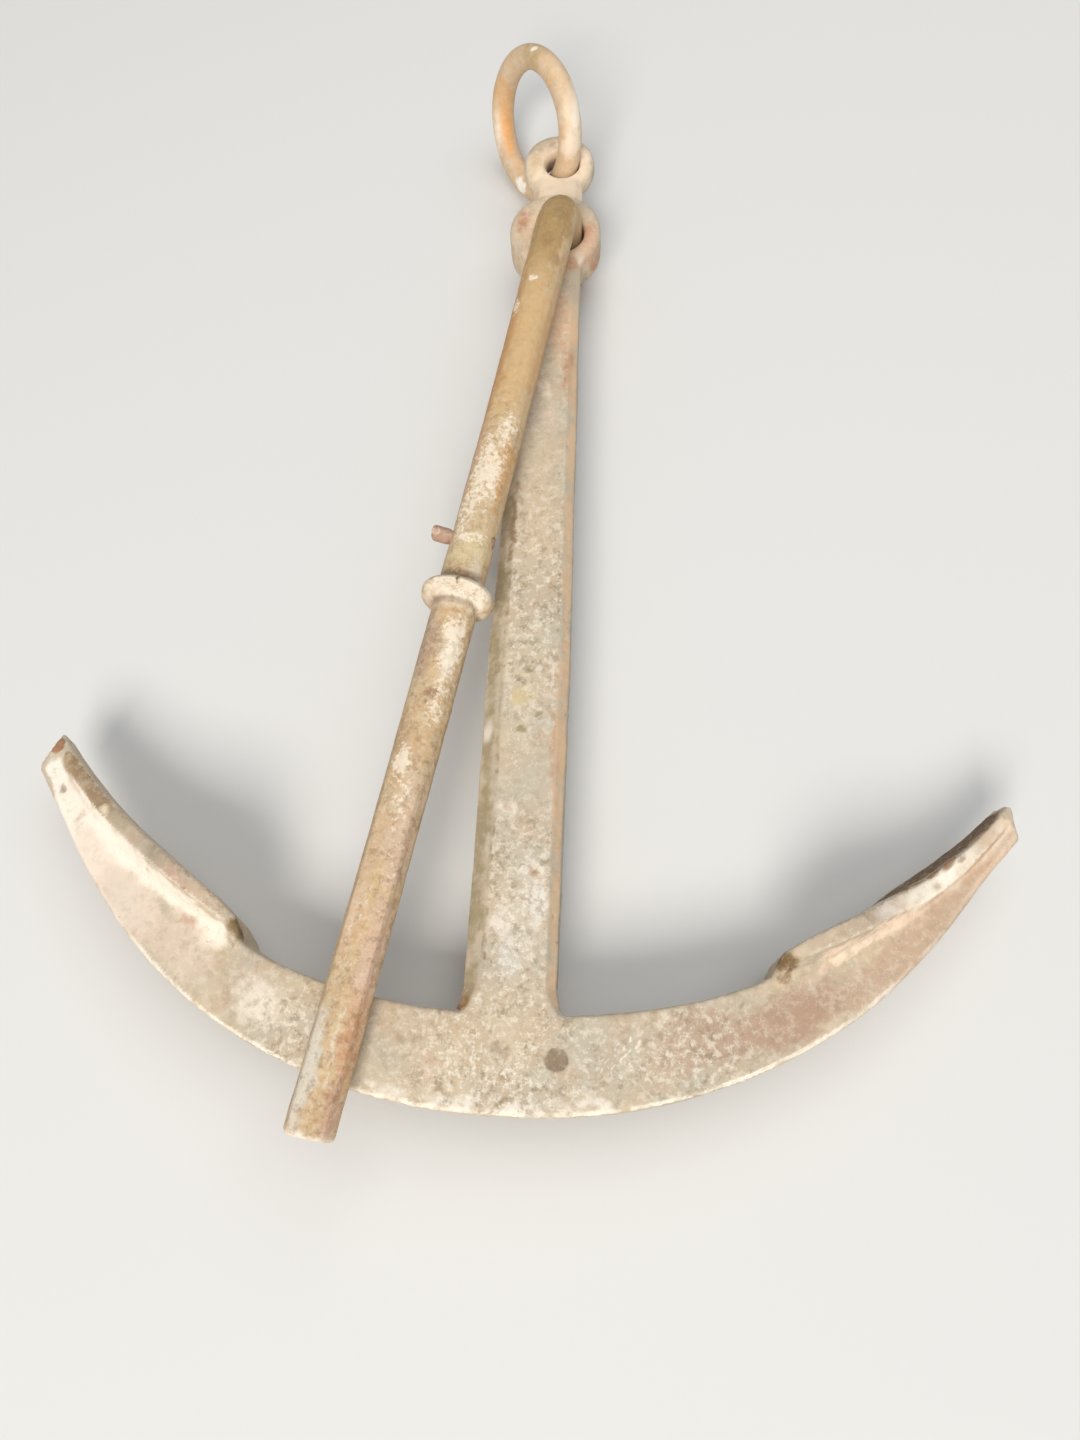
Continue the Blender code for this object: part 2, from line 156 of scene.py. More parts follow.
def soft_lamp(title, place, size, power, tint):
    """A square area lamp that looks at the middle of the anchor."""
    data = bpy.data.lights.new(title, "AREA")
    data.size = size
    data.energy = power
    data.color = tint
    lamp = bpy.data.objects.new(title, data)
    bpy.context.scene.collection.objects.link(lamp)
    lamp.location = place
    lamp.rotation_euler = (-lamp.location).to_track_quat("-Z", "Y").to_euler()


bpy.ops.object.select_all(action="DESELECT")
bpy.ops.mesh.primitive_plane_add(size=FLOOR_SIZE, location=(0, 0, -FLOOR_DROP))
floor = bpy.context.active_object
floor.name = "floor"
floor_paint = bpy.data.materials.new("pale_floor")
floor_paint.use_nodes = True
floor_shader = floor_paint.node_tree.nodes["Principled BSDF"]
floor_shader.inputs["Base Color"].default_value = chip(*FLOOR_TINT)
floor_shader.inputs["Roughness"].default_value = 0.9
floor.data.materials.append(floor_paint)
soft_lamp("window", place=(-0.5, -2.9, 2.8), size=1.7, power=140, tint=(1.0, 0.96, 0.91))
soft_lamp("ceiling", place=(0.5, 0.6, 2.2), size=2.2, power=26, tint=(0.96, 0.98, 1.0))
sky = bpy.data.worlds.new("sky")
sky.use_nodes = True
sky_shader = sky.node_tree.nodes["Background"]
sky_shader.inputs["Color"].default_value = (0.93, 0.96, 1.0, 1.0)
sky_shader.inputs["Strength"].default_value = SKY_STRENGTH
bpy.context.scene.world = sky
bpy.context.scene.view_settings.view_transform = "Standard"
print("floor", FLOOR_SIZE, "m wide, lamps:", [item.name for item in bpy.data.lights])

# %% [markdown]
# ## Tools for shaping
# Each visible piece ends as one dense skin, so that pits, hammer marks and flakes of crust are
# real relief.  A few helpers do what is done by hand with the mouse: pick one object, add a
# modifier and apply it, and press a texture into the skin.  Others measure or store numbers.

# %% Shaping helpers


def pick(piece):
    """Select one object and nothing else."""
    bpy.ops.object.select_all(action="DESELECT")
    piece.select_set(True)
    bpy.context.view_layer.objects.active = piece


def apply_modifier(piece, kind, title, **settings):
    """Add a modifier, set it and apply it."""
    modifier = piece.modifiers.new(title, kind)
    for name, value in settings.items():
        setattr(modifier, name, value)
    pick(piece)
    bpy.ops.object.modifier_apply(modifier=modifier.name)


def merged_copy(node, title):
    """A new object with a copy of a frame piece's mesh, whose loose triangles are joined up."""
    piece = bpy.data.objects.new(title, frame["nodes"][node].data.copy())
    bpy.context.scene.collection.objects.link(piece)
    piece.data.materials.clear()
    pick(piece)
    bpy.ops.object.mode_set(mode="EDIT")
    bpy.ops.mesh.select_all(action="SELECT")
    bpy.ops.mesh.remove_doubles(threshold=0.01 * MM)
    bpy.ops.object.mode_set(mode="OBJECT")
    return piece


def points_of(piece):
    """All the points of a piece as rows of x, y, z."""
    rows = np.empty(len(piece.data.vertices) * 3, np.float32)
    piece.data.vertices.foreach_get("co", rows)
    return rows.reshape(-1, 3).astype(float)


def move_points(piece, rows):
    """Put the points of a piece in new places."""
    piece.data.vertices.foreach_set("co", rows.astype(np.float32).ravel())
    piece.data.update()


def normals_of(piece):
    """The outward direction at every point."""
    rows = np.empty(len(piece.data.vertices) * 3, np.float32)
    piece.data.vertices.foreach_get("normal", rows)
    return rows.reshape(-1, 3).astype(float)


def along_and_aside(rows, centre, way):
    """How far each point lies from a centre along one direction, and what is left of its offset."""
    away = rows - np.array(centre)
    along = away @ np.array(way)
    return along, away - np.outer(along, np.array(way))


def add_torus(major, minor, segments, place, axis):
    """A torus round an axis.  Its segments are counted round the ring, then round the rod."""
    bpy.ops.object.select_all(action="DESELECT")
    bpy.ops.mesh.primitive_torus_add(
        major_radius=major,
        minor_radius=minor,
        major_segments=segments[0],
        minor_segments=segments[1],
        location=place,
        rotation=Vector(axis).to_track_quat("Z", "Y").to_euler(),
    )
    return bpy.context.active_object


def even_skin(piece, grain, passes, crisp=True):
    """Rebuild a piece as a skin of even small squares and wear its edges.

    A crisp skin is pulled onto the true shape before its edges are worn.
    """
    guide = bpy.data.objects.new("guide", piece.data.copy())
    bpy.context.scene.collection.objects.link(guide)
    apply_modifier(piece, "REMESH", "even skin", mode="VOXEL", voxel_size=grain, adaptivity=0.0)
    if crisp:
        apply_modifier(piece, "SHRINKWRAP", "true shape", target=guide, wrap_method="NEAREST_SURFACEPOINT")
    apply_modifier(piece, "SMOOTH", "worn edges", factor=0.5, iterations=passes)
    bpy.data.objects.remove(guide, do_unlink=True)
    print(piece.name, "has", len(piece.data.polygons), "squares")


def relief_texture(title, size, low=None, high=None, depth=2, basis="ORIGINAL_PERLIN"):
    """A cloud texture for relief.  Given low and high, it shows only above low, and fully at high."""
    texture = bpy.data.textures.new(title, "CLOUDS")
    texture.noise_scale = size
    texture.noise_basis = basis
    texture.noise_depth = depth
    if low is not None:
        texture.use_color_ramp = True
        texture.color_ramp.interpolation = "EASE"
        texture.color_ramp.elements[0].position = low
        texture.color_ramp.elements[0].color = (0, 0, 0, 1)
        texture.color_ramp.elements[1].position = high
        texture.color_ramp.elements[1].color = (1, 1, 1, 1)
    return texture


def press(piece, texture, height, level=0.5, where=""):
    """Raise or sink the skin by a texture, all over or in one vertex group."""
    apply_modifier(
        piece,
        "DISPLACE",
        texture.name,
        texture=texture,
        texture_coords="LOCAL",
        strength=height,
        mid_level=level,
        vertex_group=where,
    )


def rounded(depth):
    """0 and 1 stay as they are, and the slope between them is eased."""
    share = np.clip(depth, 0.0, 1.0)
    return share * share * (3 - 2 * share)


def ball_weights(rows, spots):
    """How deep each point lies in the nearest soft ball.  A ball: place, radius in mm, strength."""
    weights = np.zeros(len(rows))
    for place, radius, strength in spots:
        gap = np.linalg.norm(rows - np.array(place), axis=1) / (radius * MM)
        weights = np.maximum(weights, strength * rounded(1.0 - gap))
    return weights


def mark_group(piece, title, weights):
    """Store weights as a vertex group, which a modifier can be limited to."""
    group = piece.vertex_groups.new(name=title)
    for index in np.nonzero(weights > 0.001)[0]:
        group.add([int(index)], float(weights[index]), "REPLACE")


def mark_spots(piece, title, spots):
    """Store soft balls as a vertex group."""
    mark_group(piece, title, ball_weights(points_of(piece), spots))


def store_value(piece, title, values):
    """Store one number for every point, for the material to read."""
    layer = piece.data.attributes.new(title, "FLOAT", "POINT")
    layer.data.foreach_set("value", values.astype(np.float32))


def store_relief(piece, smooth_rows, normals):
    """Store how far each point stands out from the smooth skin, in mm, for the material to read."""
    relief = ((points_of(piece) - smooth_rows) * normals).sum(axis=1) / MM
    store_value(piece, "relief", relief)
    print(piece.name, "relief from", round(relief.min(), 2), "to", round(relief.max(), 2), "mm")


print("helpers ready")

# %% [markdown]
# ## The forging
# Arms, palms, shank, boss and lug are one piece of forged iron.  Its true shape is in the frame,
# so a merged copy is skinned with small even squares and its edges are worn round.  Then the
# marks of its life are pressed in, from large to small: the waves left by the hammer, shallow
# dents, rust pits and granular scale.  The scale is rough on the crown and the shank, and thin
# on the struck dents, on the palms, on the shank's bevels and on the lug.

# %% Skin the forging
FORGING_GRAIN = 1.34 * MM
forging = merged_copy("anchor_body", "forging")
even_skin(forging, FORGING_GRAIN, passes=2)

# %% Beat the forging
forging_dents = [
    (on_arm(5.7, 237, 16), 8.5, 1.0),
    (on_arm(-0.7, 231, 16), 7.5, 0.35),
    (on_shank(213, 1, 15), 4.6, 0.55),
    (on_shank(206, -3, 15), 4.2, 0.55),
    (on_shank(188, 7, 15), 4.6, 0.5),
    (on_shank(180, -2, 15), 4.0, 0.4),
    (on_arm(-62.8, 258, 9), 4.0, 0.8),
    (on_arm(-14, 244, -16), 8.0, 0.8),
    (on_arm(22, 236, -16), 7.0, 0.7),
    (on_shank(150, 4, -15), 7.0, 0.7),
]
mark_spots(forging, "dents", forging_dents)
press(forging, relief_texture("hammer waves", 32 * MM), 0.8 * MM)
press(forging, relief_texture("hammer dents", 14 * MM, depth=0, basis="VORONOI_F1"), 0.4 * MM)
press(forging, relief_texture("dent floor", 200 * MM), -1.3 * MM, 0.0, "dents")
smooth_forging = points_of(forging)
forging_normals = normals_of(forging)
print("forging beaten,", len(forging_dents), "dents")

# %% Pit the forging
LEFT_BEVEL = (-0.55, 0, 0.83)
RIGHT_BEVEL = (0.77, 0, 0.64)
BEVELS_START = 45 * MM
LEAST_GRIT = 0.32
forging_grit = [
    (on_arm(0, 240, 12), 95, 1.0),
    (on_arm(-22, 246, 12), 60, 0.85),
    (on_arm(20, 246, 12), 60, 0.85),
    (on_shank(110, 0, 12), 90, 0.8),
    (on_shank(200, 0, 12), 70, 0.6),
    (on_arm(0, 240, -14), 110, 1.0),
    (on_shank(250, 0, -13), 150, 0.9),
    (on_shank(62, 0, 12), 50, 0.85),
]
smooth_spots = [(place, radius * 1.8, 1.0) for place, radius, strength in forging_dents[:2]]
smooth_spots += [(on_arm(-52, 252, 12), 60, 0.7), (on_arm(55, 254, 12), 50, 0.5)]
smooth_spots += [(on_shank(545, 0, 6), 36, 0.8), (on_shank(156, 0, 12), 34, 0.45)]
grit = np.maximum(ball_weights(smooth_forging, forging_grit), LEAST_GRIT)
grit *= 1 - 0.8 * ball_weights(smooth_forging, smooth_spots)
for way in (LEFT_BEVEL, RIGHT_BEVEL):
    on_bevel = rounded((forging_normals @ np.array(Vector(way).normalized()) - 0.88) / 0.07)
    grit *= 1 - 0.7 * on_bevel * (smooth_forging[:, 1] > crown.y + BEVELS_START)
store_value(forging, "grit", grit)
mark_group(forging, "gritty", grit)
press(forging, relief_texture("rust pits", 4.2 * MM, 0.66, 0.80), -0.35 * MM, 0.0)
press(forging, relief_texture("scale lumps", 7 * MM), 0.3 * MM, 0.5, "gritty")
press(forging, relief_texture("scale grain", 2.2 * MM, depth=1), 0.4 * MM, 0.5, "gritty")
store_relief(forging, smooth_forging, forging_normals)

# %% [markdown]
# ## The stock
# The stock is a round bar, bent above its eye and bowed a little.  Below the collar it was drawn
# down under the hammer, which left eight flats with a ridge on top.  The collar is a bead: a
# torus, welded on, whose lower side is pinched up the bar on top, where its ends meet in a crack.
# The bar comes from the frame, the bead is added as a primitive, and one skin covers both.

# %% Skin the stock
STOCK_GRAIN = 0.8 * MM
BEAD_MAJOR = 12.3 * MM
BEAD_MINOR = 6.3 * MM
COLLAR_DOWN = 260.6
BOW = 1.9
stock = merged_copy("stock", "folded_stock")
bead = add_torus(BEAD_MAJOR, BEAD_MINOR, (64, 24), on_stock(COLLAR_DOWN, BOW, 0), bar_along)
bead.select_set(True)
stock.select_set(True)
bpy.context.view_layer.objects.active = stock
bpy.ops.object.join()
even_skin(stock, STOCK_GRAIN, passes=4, crisp=False)

# %% Hammer the flats
FLATS = 8
FLAT_DEPTH = 0.055
FLATS_START = 300.0
FLATS_FULL = 420.0
FAINT_FLATS = 0.35
FAINT_START = 70.0
FAINT_RISE = 60.0
FAINT_END = 250.0
FAINT_FALL = 20.0
PINCH_DEPTH = 6.2 * MM
PINCH_ABOVE = 5.0
PINCH_RISE = 12.0
PINCH_BELOW = 8.0
PINCH_FALL = 30.0


def stock_terms(rows):
    """How far down the bar each point lies, in mm, and its offset from the bar's centre line."""
    down, aside = along_and_aside(rows, elbow, bar_along)
    length = (stock_low - elbow).dot(bar_along)
    bow = BOW * MM * np.sin(math.pi * np.clip(down / length, 0, 1))
    return down / MM, aside - np.outer(bow, np.array(bar_across))


stock_rows = points_of(stock)
down, offset = stock_terms(stock_rows)
top_side = rounded((offset[:, 2] / np.maximum(np.linalg.norm(offset, axis=1), MM) - 0.1) / 0.85)
past_collar = down - COLLAR_DOWN
pinch = rounded((past_collar + PINCH_ABOVE) / PINCH_RISE)
pinch *= 1 - rounded((past_collar - PINCH_BELOW) / PINCH_FALL)
stock_rows -= np.outer(PINCH_DEPTH * top_side * pinch, np.array(bar_along))
down, offset = stock_terms(stock_rows)
side_way = offset @ np.array(bar_across)
angle = np.arctan2(offset[:, 2], side_way)
step = 2 * math.pi / FLATS
from_ridge = (angle - math.pi / 2 + step / 2) % step - step / 2
bulge = np.cos(step / 2) / np.cos(step / 2 - np.abs(from_ridge))
share = np.clip((down - FLATS_START) / (FLATS_FULL - FLATS_START), 0, 1)
faint = FAINT_FLATS * np.clip((down - FAINT_START) / FAINT_RISE, 0, 1)
faint *= np.clip((FAINT_END - down) / FAINT_FALL, 0, 1)
share = np.maximum(rounded(share), faint)
move_points(stock, stock_rows + offset * (share * (bulge - 1 + FLAT_DEPTH * 0.5))[:, None])
print("stock is", round(down.max(), 1), "mm long, flats from", FLATS_START, "mm down")

# %% Beat and pit the stock
crust_spots = [
    (on_stock(161, 8, 8), 10, 1.0),
    (on_stock(172, 4, 9), 14, 1.0),
    (on_stock(187, 1, 9), 15, 1.0),
    (on_stock(202, 3, 9), 13, 1.0),
    (on_stock(215, 3, 9), 10, 0.8),
    (on_stock(279, 6, 7), 12, 1.0),
    (on_stock(293, 7, 7), 13, 1.0),
    (on_stock(307, 6, 7), 10, 0.8),
    (on_stock(326, 6, 7), 7, 0.7),
    (on_stock(352, -2, 9), 9, 0.8),
    (on_stock(440, -4, -9), 16, 0.6),
    (on_stock(120, 0, -10), 16, 0.8),
]
crack_spots = []
for part in range(-2, 3):
    crack_spots.append((on_stock(COLLAR_DOWN + 2, 3.4 + 0.5 * part, 17 - 0.4 * part), 2.4, 1.0))
mark_spots(stock, "flaky", crust_spots)
mark_spots(stock, "crack", crack_spots)
press(stock, relief_texture("bar waves", 26 * MM), 0.7 * MM)
press(stock, relief_texture("bar dents", 12 * MM, depth=0, basis="VORONOI_F1"), 0.3 * MM)
press(stock, relief_texture("crack floor", 200 * MM), -1.4 * MM, 0.0, "crack")
smooth_stock = points_of(stock)
stock_normals = normals_of(stock)
down, offset = stock_terms(smooth_stock)
grit = 0.3 + 0.5 * rounded((down - 120) / 40) + 0.2 * rounded((down - 240) / 20)
store_value(stock, "grit", grit)
press(stock, relief_texture("bar pits", 4 * MM, 0.66, 0.80), -0.3 * MM, 0.0)
press(stock, relief_texture("bar grain", 2 * MM, depth=1), 0.16 * MM)
press(stock, relief_texture("crust flakes", 2.8 * MM, 0.46, 0.58), 0.4 * MM, 0.0, "flaky")
store_relief(stock, smooth_stock, stock_normals)

# %% [markdown]
# ## The ring
# The ring is a rod bent round and hammer-welded, loose in the lug's hole.  It is a torus: a
# primitive with many segments, placed by measuring the frame's ring.  Its plane is found from
# the ring's own points, and the weld is a soft swelling on its low left side.

# %% Measure and model the ring
ROD_TRIM = 0.995
ring_rows = np.array([vertex.co for vertex in frame["nodes"]["ring"].data.vertices])
ring_centre = ring_rows.mean(axis=0)
ring_facing = np.linalg.svd(ring_rows - ring_centre, full_matrices=False)[2][2]
ring_height, ring_aside = along_and_aside(ring_rows, ring_centre, ring_facing)
ring_reach = np.linalg.norm(ring_aside, axis=1)
rod_radius = (ring_reach.max() - ring_reach.min()) / 4 + np.abs(ring_height).max() / 2
ring_radius = (ring_reach.max() + ring_reach.min()) / 2
ring = add_torus(ring_radius, rod_radius * ROD_TRIM, (256, 64), ring_centre, ring_facing)
ring.name = "shackle_ring"
bpy.ops.object.transform_apply(location=True, rotation=True, scale=True)
print("ring", round(ring_radius / MM, 1), "mm to the rod, rod", round(2 * rod_radius / MM, 1), "mm")

# %% Beat and pit the ring
mark_spots(ring, "weld", [(on_shank(547, -38, -18), 14, 1.0)])
press(ring, relief_texture("rod waves", 16 * MM), 0.5 * MM, 0.62)
press(ring, relief_texture("weld swelling", 200 * MM), 0.7 * MM, 0.0, "weld")
smooth_ring = points_of(ring)
ring_normals = normals_of(ring)
store_value(ring, "grit", np.full(len(smooth_ring), 0.5))
press(ring, relief_texture("rod pits", 3.6 * MM, 0.68, 0.82), -0.22 * MM, 0.0)
press(ring, relief_texture("rod grain", 1.8 * MM, depth=1), 0.08 * MM, 0.6)
store_relief(ring, smooth_ring, ring_normals)

# %% [markdown]
# ## The key
# A short round pin goes through the stock above the collar.  It was cut from rod, and its ends
# were rounded by the hammer, so it is a cylinder with widely bevelled ends.  The end that stands
# out has been struck many times, so it is swollen by a fifth and bent a little.

# %% Measure and model the key
KEY_GRAIN = 0.35 * MM
KEY_BEVEL = 1.9 * MM
KEY_UPSET = 0.2
KEY_UPSET_RUN = 2.0 * MM
KEY_BEND = 0.13
BAR_RADIUS = 11.5 * MM
key_rows = np.array([vertex.co for vertex in frame["nodes"]["stock_key"].data.vertices])
key_centre = (key_rows.max(axis=0) + key_rows.min(axis=0)) / 2
key_reach, key_aside = along_and_aside(key_rows, key_centre, key_pull)
key_radius = np.linalg.norm(key_aside, axis=1).max()
key_length = key_reach.max() - key_reach.min()
bpy.ops.object.select_all(action="DESELECT")
bpy.ops.mesh.primitive_cylinder_add(
    vertices=32,
    radius=key_radius,
    depth=key_length,
    location=key_centre,
    rotation=key_pull.to_track_quat("Z", "Y").to_euler(),
)
key = bpy.context.active_object
key.name = "stock_pin"
bpy.ops.object.transform_apply(location=True, rotation=True, scale=True)
pick(key)
bpy.ops.object.mode_set(mode="EDIT")
bpy.ops.mesh.select_mode(type="EDGE")
bpy.ops.mesh.select_all(action="DESELECT")
bpy.ops.object.mode_set(mode="OBJECT")
for edge in key.data.edges:
    ends = [key.data.vertices[index].co - Vector(key_centre) for index in edge.vertices]
    edge.select = abs((ends[0] - ends[1]).dot(key_pull)) < 0.1 * MM
bpy.ops.object.mode_set(mode="EDIT")
bpy.ops.mesh.bevel(offset=KEY_BEVEL, offset_type="OFFSET", segments=5, affect="EDGES")
bpy.ops.object.mode_set(mode="OBJECT")
even_skin(key, KEY_GRAIN, passes=2, crisp=False)

# %% Upset and pit the key
key_rows = points_of(key)
key_reach, key_aside = along_and_aside(key_rows, key_centre, key_pull)
out_of_bar = (elbow - Vector(key_centre)).dot(key_pull) + BAR_RADIUS
head_share = rounded((key_reach - out_of_bar + KEY_UPSET_RUN) / KEY_UPSET_RUN)
bend = KEY_BEND * np.maximum(key_reach - out_of_bar, 0)
key_rows += key_aside * (KEY_UPSET * head_share)[:, None] - np.outer(bend, np.array(bar_along))
move_points(key, key_rows)
store_value(key, "grit", np.full(len(key.data.vertices), 0.8))
smooth_key = points_of(key)
key_normals = normals_of(key)
press(key, relief_texture("pin waves", 9 * MM), 0.2 * MM, 0.6)
press(key, relief_texture("pin pits", 2.4 * MM, 0.56, 0.72), -0.25 * MM, 0.0)
store_relief(key, smooth_key, key_normals)
print("key", round(key_length / MM, 1), "mm long,", round(2 * key_radius / MM, 1), "mm thick")

# %% [markdown]
# ## Stains, painted highlights and painted shade
# Rust runs, crust and rubbed places sit where the anchor's life put them, so they are painted on
# as soft stains, and so are a few painted highlights and patches of painted shade.  Each is an
# ellipsoid of colour, laid along the bar or the arm that it is on.
# A stain can keep to the faces that look one way, which gives it a crisp border along a bevel.
# The paint is kept as one colour and one strength at every point, and the crust as one strength
# whose colour is the material's.  Noise with a fixed seed pushes the outlines about, and the
# material breaks up the edges again, so that no stain shows as a round blob.

# %% Stain helpers
CREAM = (246, 236, 218)
CHALK = (230, 222, 206)
PALE = (218, 204, 182)
PINK = (206, 180, 158)
TAN = (188, 162, 132)
STONE = (190, 182, 164)
OCHRE = (192, 152, 100)
ORANGE = (186, 124, 70)
BROWN = (140, 106, 76)
UMBER = (98, 74, 50)
TALL = 14
SOFT_OUTLINE = 1.35
CLEAN_OUTLINE = 3.0
RAGS_SEED = 1
WIDE_RAGS = 11 * MM
WIDE_PUSH = 2.6
FINE_RAGS = 3.6 * MM
FINE_PUSH = 1.3
ON_LEFT_BEVEL = (LEFT_BEVEL, 0.88, 0.95)
ON_RIGHT_BEVEL = (RIGHT_BEVEL, 0.86, 0.94)
UPWARD = ((0, 0, 1), 0.78, 0.86)
noise.seed_set(RAGS_SEED)


def lay_stains(rows, normals, stains, crisp):
    """Colour and strength at every point.

    A stain: its place, its direction, its half sizes along, across and up in mm, its paint chart
    colour, its strength, and a facing.  A facing: a direction, where it begins and where it is full.
    """
    colour = np.zeros((len(rows), 3))
    strength = np.zeros(len(rows))
    for place, along, sizes, tint, amount, facing in stains:
        ahead = np.array(Vector(along).normalized())
        sideways = np.cross(ahead, (0.0, 0.0, 1.0))
        away = rows - np.array(place)
        terms = (away @ ahead, away @ sideways, away[:, 2])
        gap = np.sqrt(sum((term / (size * MM)) ** 2 for term, size in zip(terms, sizes)))
        share = amount * rounded(crisp - crisp * gap)
        if facing:
            way, low, high = facing
            turned = normals @ np.array(Vector(way).normalized())
            share = share * rounded((turned - low) / (high - low))
        colour = colour * (1 - share)[:, None] + np.outer(share, chip(*tint)[:3])
        strength = strength * (1 - share) + share
    return colour / np.maximum(strength, 0.001)[:, None], strength


def pushed_about(rows):
    """The points moved a little by noise, so that what is laid on them gets a ragged outline."""
    moved = np.empty_like(rows)
    for index, row in enumerate(rows):
        place = Vector(row)
        wide = noise.noise_vector(place / WIDE_RAGS) * WIDE_PUSH
        fine = noise.noise_vector(place / FINE_RAGS) * FINE_PUSH
        moved[index] = place + (wide + fine) * MM
    return moved


def paint_stains(piece, rows, normals, stains, crust, marks=()):
    """Store the stains and the crust of a piece.  Marks are small stains with a clean outline."""
    pushed = pushed_about(rows)
    paint = np.ones((len(rows), 4))
    colour, strength = lay_stains(pushed, normals, stains, SOFT_OUTLINE)
    mark_colour, mark_strength = lay_stains(rows, normals, marks, CLEAN_OUTLINE)
    paint[:, :3] = colour * (1 - mark_strength)[:, None] + mark_colour * mark_strength[:, None]
    paint[:, 3] = np.maximum(strength, mark_strength)
    layer = piece.data.attributes.new("stain", "FLOAT_COLOR", "POINT")
    layer.data.foreach_set("color", paint.astype(np.float32).ravel())
    crust_strength = lay_stains(pushed, normals, crust, SOFT_OUTLINE)[1]
    store_value(piece, "crust", crust_strength * (1 - mark_strength))
    covered = round(100 * float((paint[:, 3] > 0.1).mean()))
    print(piece.name, "has", len(stains), "stains on", covered, "% of it")


def arm(degrees, radius, up, sizes, tint, amount, facing=None):
    """A stain that follows an arm."""
    turn = math.radians(degrees)
    along = (math.cos(turn), math.sin(turn), 0)
    return on_arm(degrees, radius, up), along, sizes, tint, amount, facing


def shank(along, across, up, sizes, tint, amount, facing=None):
    """A stain that runs along the shank or lies on the head or the ring."""
    return on_shank(along, across, up), (0, 1, 0), sizes, tint, amount, facing


def bar(down, across, up, sizes, tint, amount, facing=None):
    """A stain that runs along the stock."""
    return on_stock(down, across, up), bar_along, sizes, tint, amount, facing


def outward(degrees, rise, low, high):
    """Facing away from the arc's centre, and up by rise."""
    turn = math.radians(degrees)
    return (math.sin(turn), -math.cos(turn), rise), low, high


print("stain helpers ready")

# %% Stains and a painted highlight on the arms
arm_stains_and_highlights = [
    arm(-46, 253, 12, (44, 15, TALL), (218, 194, 174), 0.55),
    arm(-37, 248, 14, (24, 17, TALL), (206, 188, 166), 0.6),
    arm(-28, 245, 14, (22, 18, TALL), (226, 213, 195), 0.7),
    arm(-20, 244, 15, (26, 20, 8), (200, 186, 168), 0.5),
    arm(22, 240, 15, (36, 22, 8), (182, 156, 134), 0.75),
    arm(46, 254, 12, (66, 17, TALL), (188, 162, 138), 0.8),
    arm(31, 248, 14, (44, 19, TALL), (175, 146, 122), 0.8),
    arm(8.1, 250, 16, (11, 8, 5), (208, 203, 188), 0.5),
    arm(15.5, 251, 16, (12, 7, 5), (196, 178, 140), 0.35),
    arm(17, 242, 16, (20, 16, 6), (190, 168, 144), 0.55),
    arm(-8, 243, 16, (20, 14, 6), (204, 178, 150), 0.4),
]
for degrees in (-12, -5, 2, 8):
    arm_stains_and_highlights.append(arm(degrees, 257, 15, (22, 5.5, 5), (228, 218, 202), 0.6))
# Painted highlight: a pale line along the outer bevel of both arms, only on the faces turned outward and
# up.
for degrees in range(-64, 65, 8):
    highlight_rim = outward(degrees, 1.0, 0.86, 0.95)
    arm_stains_and_highlights.append(arm(degrees, 262, 15, (30, 6, 6), (236, 226, 208), 0.75, highlight_rim))
arm_marks = [
    arm(5.5, 237, 16, (6.6, 6.4, 5), (152, 132, 108), 0.85),
    arm(-0.6, 233, 16, (6.8, 6.2, 5), (194, 162, 138), 0.35),
]
strokes = ((10.1, 243), (10.8, 239.5), (11.3, 242.5), (11.8, 237.5), (12.4, 240), (12.9, 235))
strokes += ((13.2, 237.5), (13.7, 232.5), (14.4, 235), (15.1, 230.5), (12.1, 234), (11.1, 245))
for degrees, radius in strokes:
    arm_marks.append((on_arm(degrees, radius, 16), (0.45, 0.9, 0), (2.7, 0.75, 4), CREAM, 0.8, None))
print(len(arm_stains_and_highlights), "stains and", len(arm_marks), "marks on the arms")

# %% Measure the palms' upper edges
ARM_INSIDE = 215
SLICE_DEG = 0.8
EDGE_DEPTH = 0.9
right_of_arc = smooth_forging[:, 0] - arm_centre.x
below_arc = arm_centre.y - smooth_forging[:, 1]
forging_turns = np.degrees(np.arctan2(right_of_arc, below_arc))
forging_reach = np.hypot(right_of_arc, below_arc) / MM
forging_up = (smooth_forging[:, 2] - middle) / MM


def palm_edge(degrees):
    """Radius and height of the middle of a palm's upper edge, in mm."""
    here = (np.abs(forging_turns - degrees) < SLICE_DEG) & (forging_reach > ARM_INSIDE)
    top = forging_up[here].max()
    on_edge = here & (forging_up > top - EDGE_DEPTH)
    return float(forging_reach[on_edge].mean()), float(top)


LEFT_EDGE = [(degrees, *palm_edge(degrees)) for degrees in range(-64, -36, 3)]
RIGHT_EDGE = [(degrees, *palm_edge(degrees)) for degrees in range(37, 62, 3)]
print("left palm's edge", [(turn, round(radius), round(up)) for turn, radius, up in LEFT_EDGE])

# %% Stains, painted highlight and painted shade on the left palm
palm_stains_and_painted_light = [
    arm(-59, 261, 10, (26, 9, 10), (238, 230, 212), 0.95),
    arm(-54, 256, 12, (26, 14, 9), (233, 216, 198), 0.95),
    arm(-47, 252, 13, (26, 16, 9), (217, 201, 183), 0.95),
    arm(-39, 248, 14, (26, 17, 9), (207, 188, 167), 0.9),
]
# Painted highlight: a cream band along the flare below the left palm's upper edge.
for degrees, radius, up in LEFT_EDGE:
    foot = (up + 13) / 2
    tint = (243, 229, 212)
    palm_stains_and_painted_light.append(arm(degrees, radius + 9.5, foot, (15, 9.5, 9 + (up - 13) / 2), tint, 0.85))
for index, (degrees, radius, up) in enumerate(LEFT_EDGE):
    tint = (152, 124, 92) if degrees < -56 else ((192, 170, 145), (178, 160, 135))[index % 2]
    palm_stains_and_painted_light.append(arm(degrees, radius, up, (13, 11, 8), tint, 0.9, UPWARD))
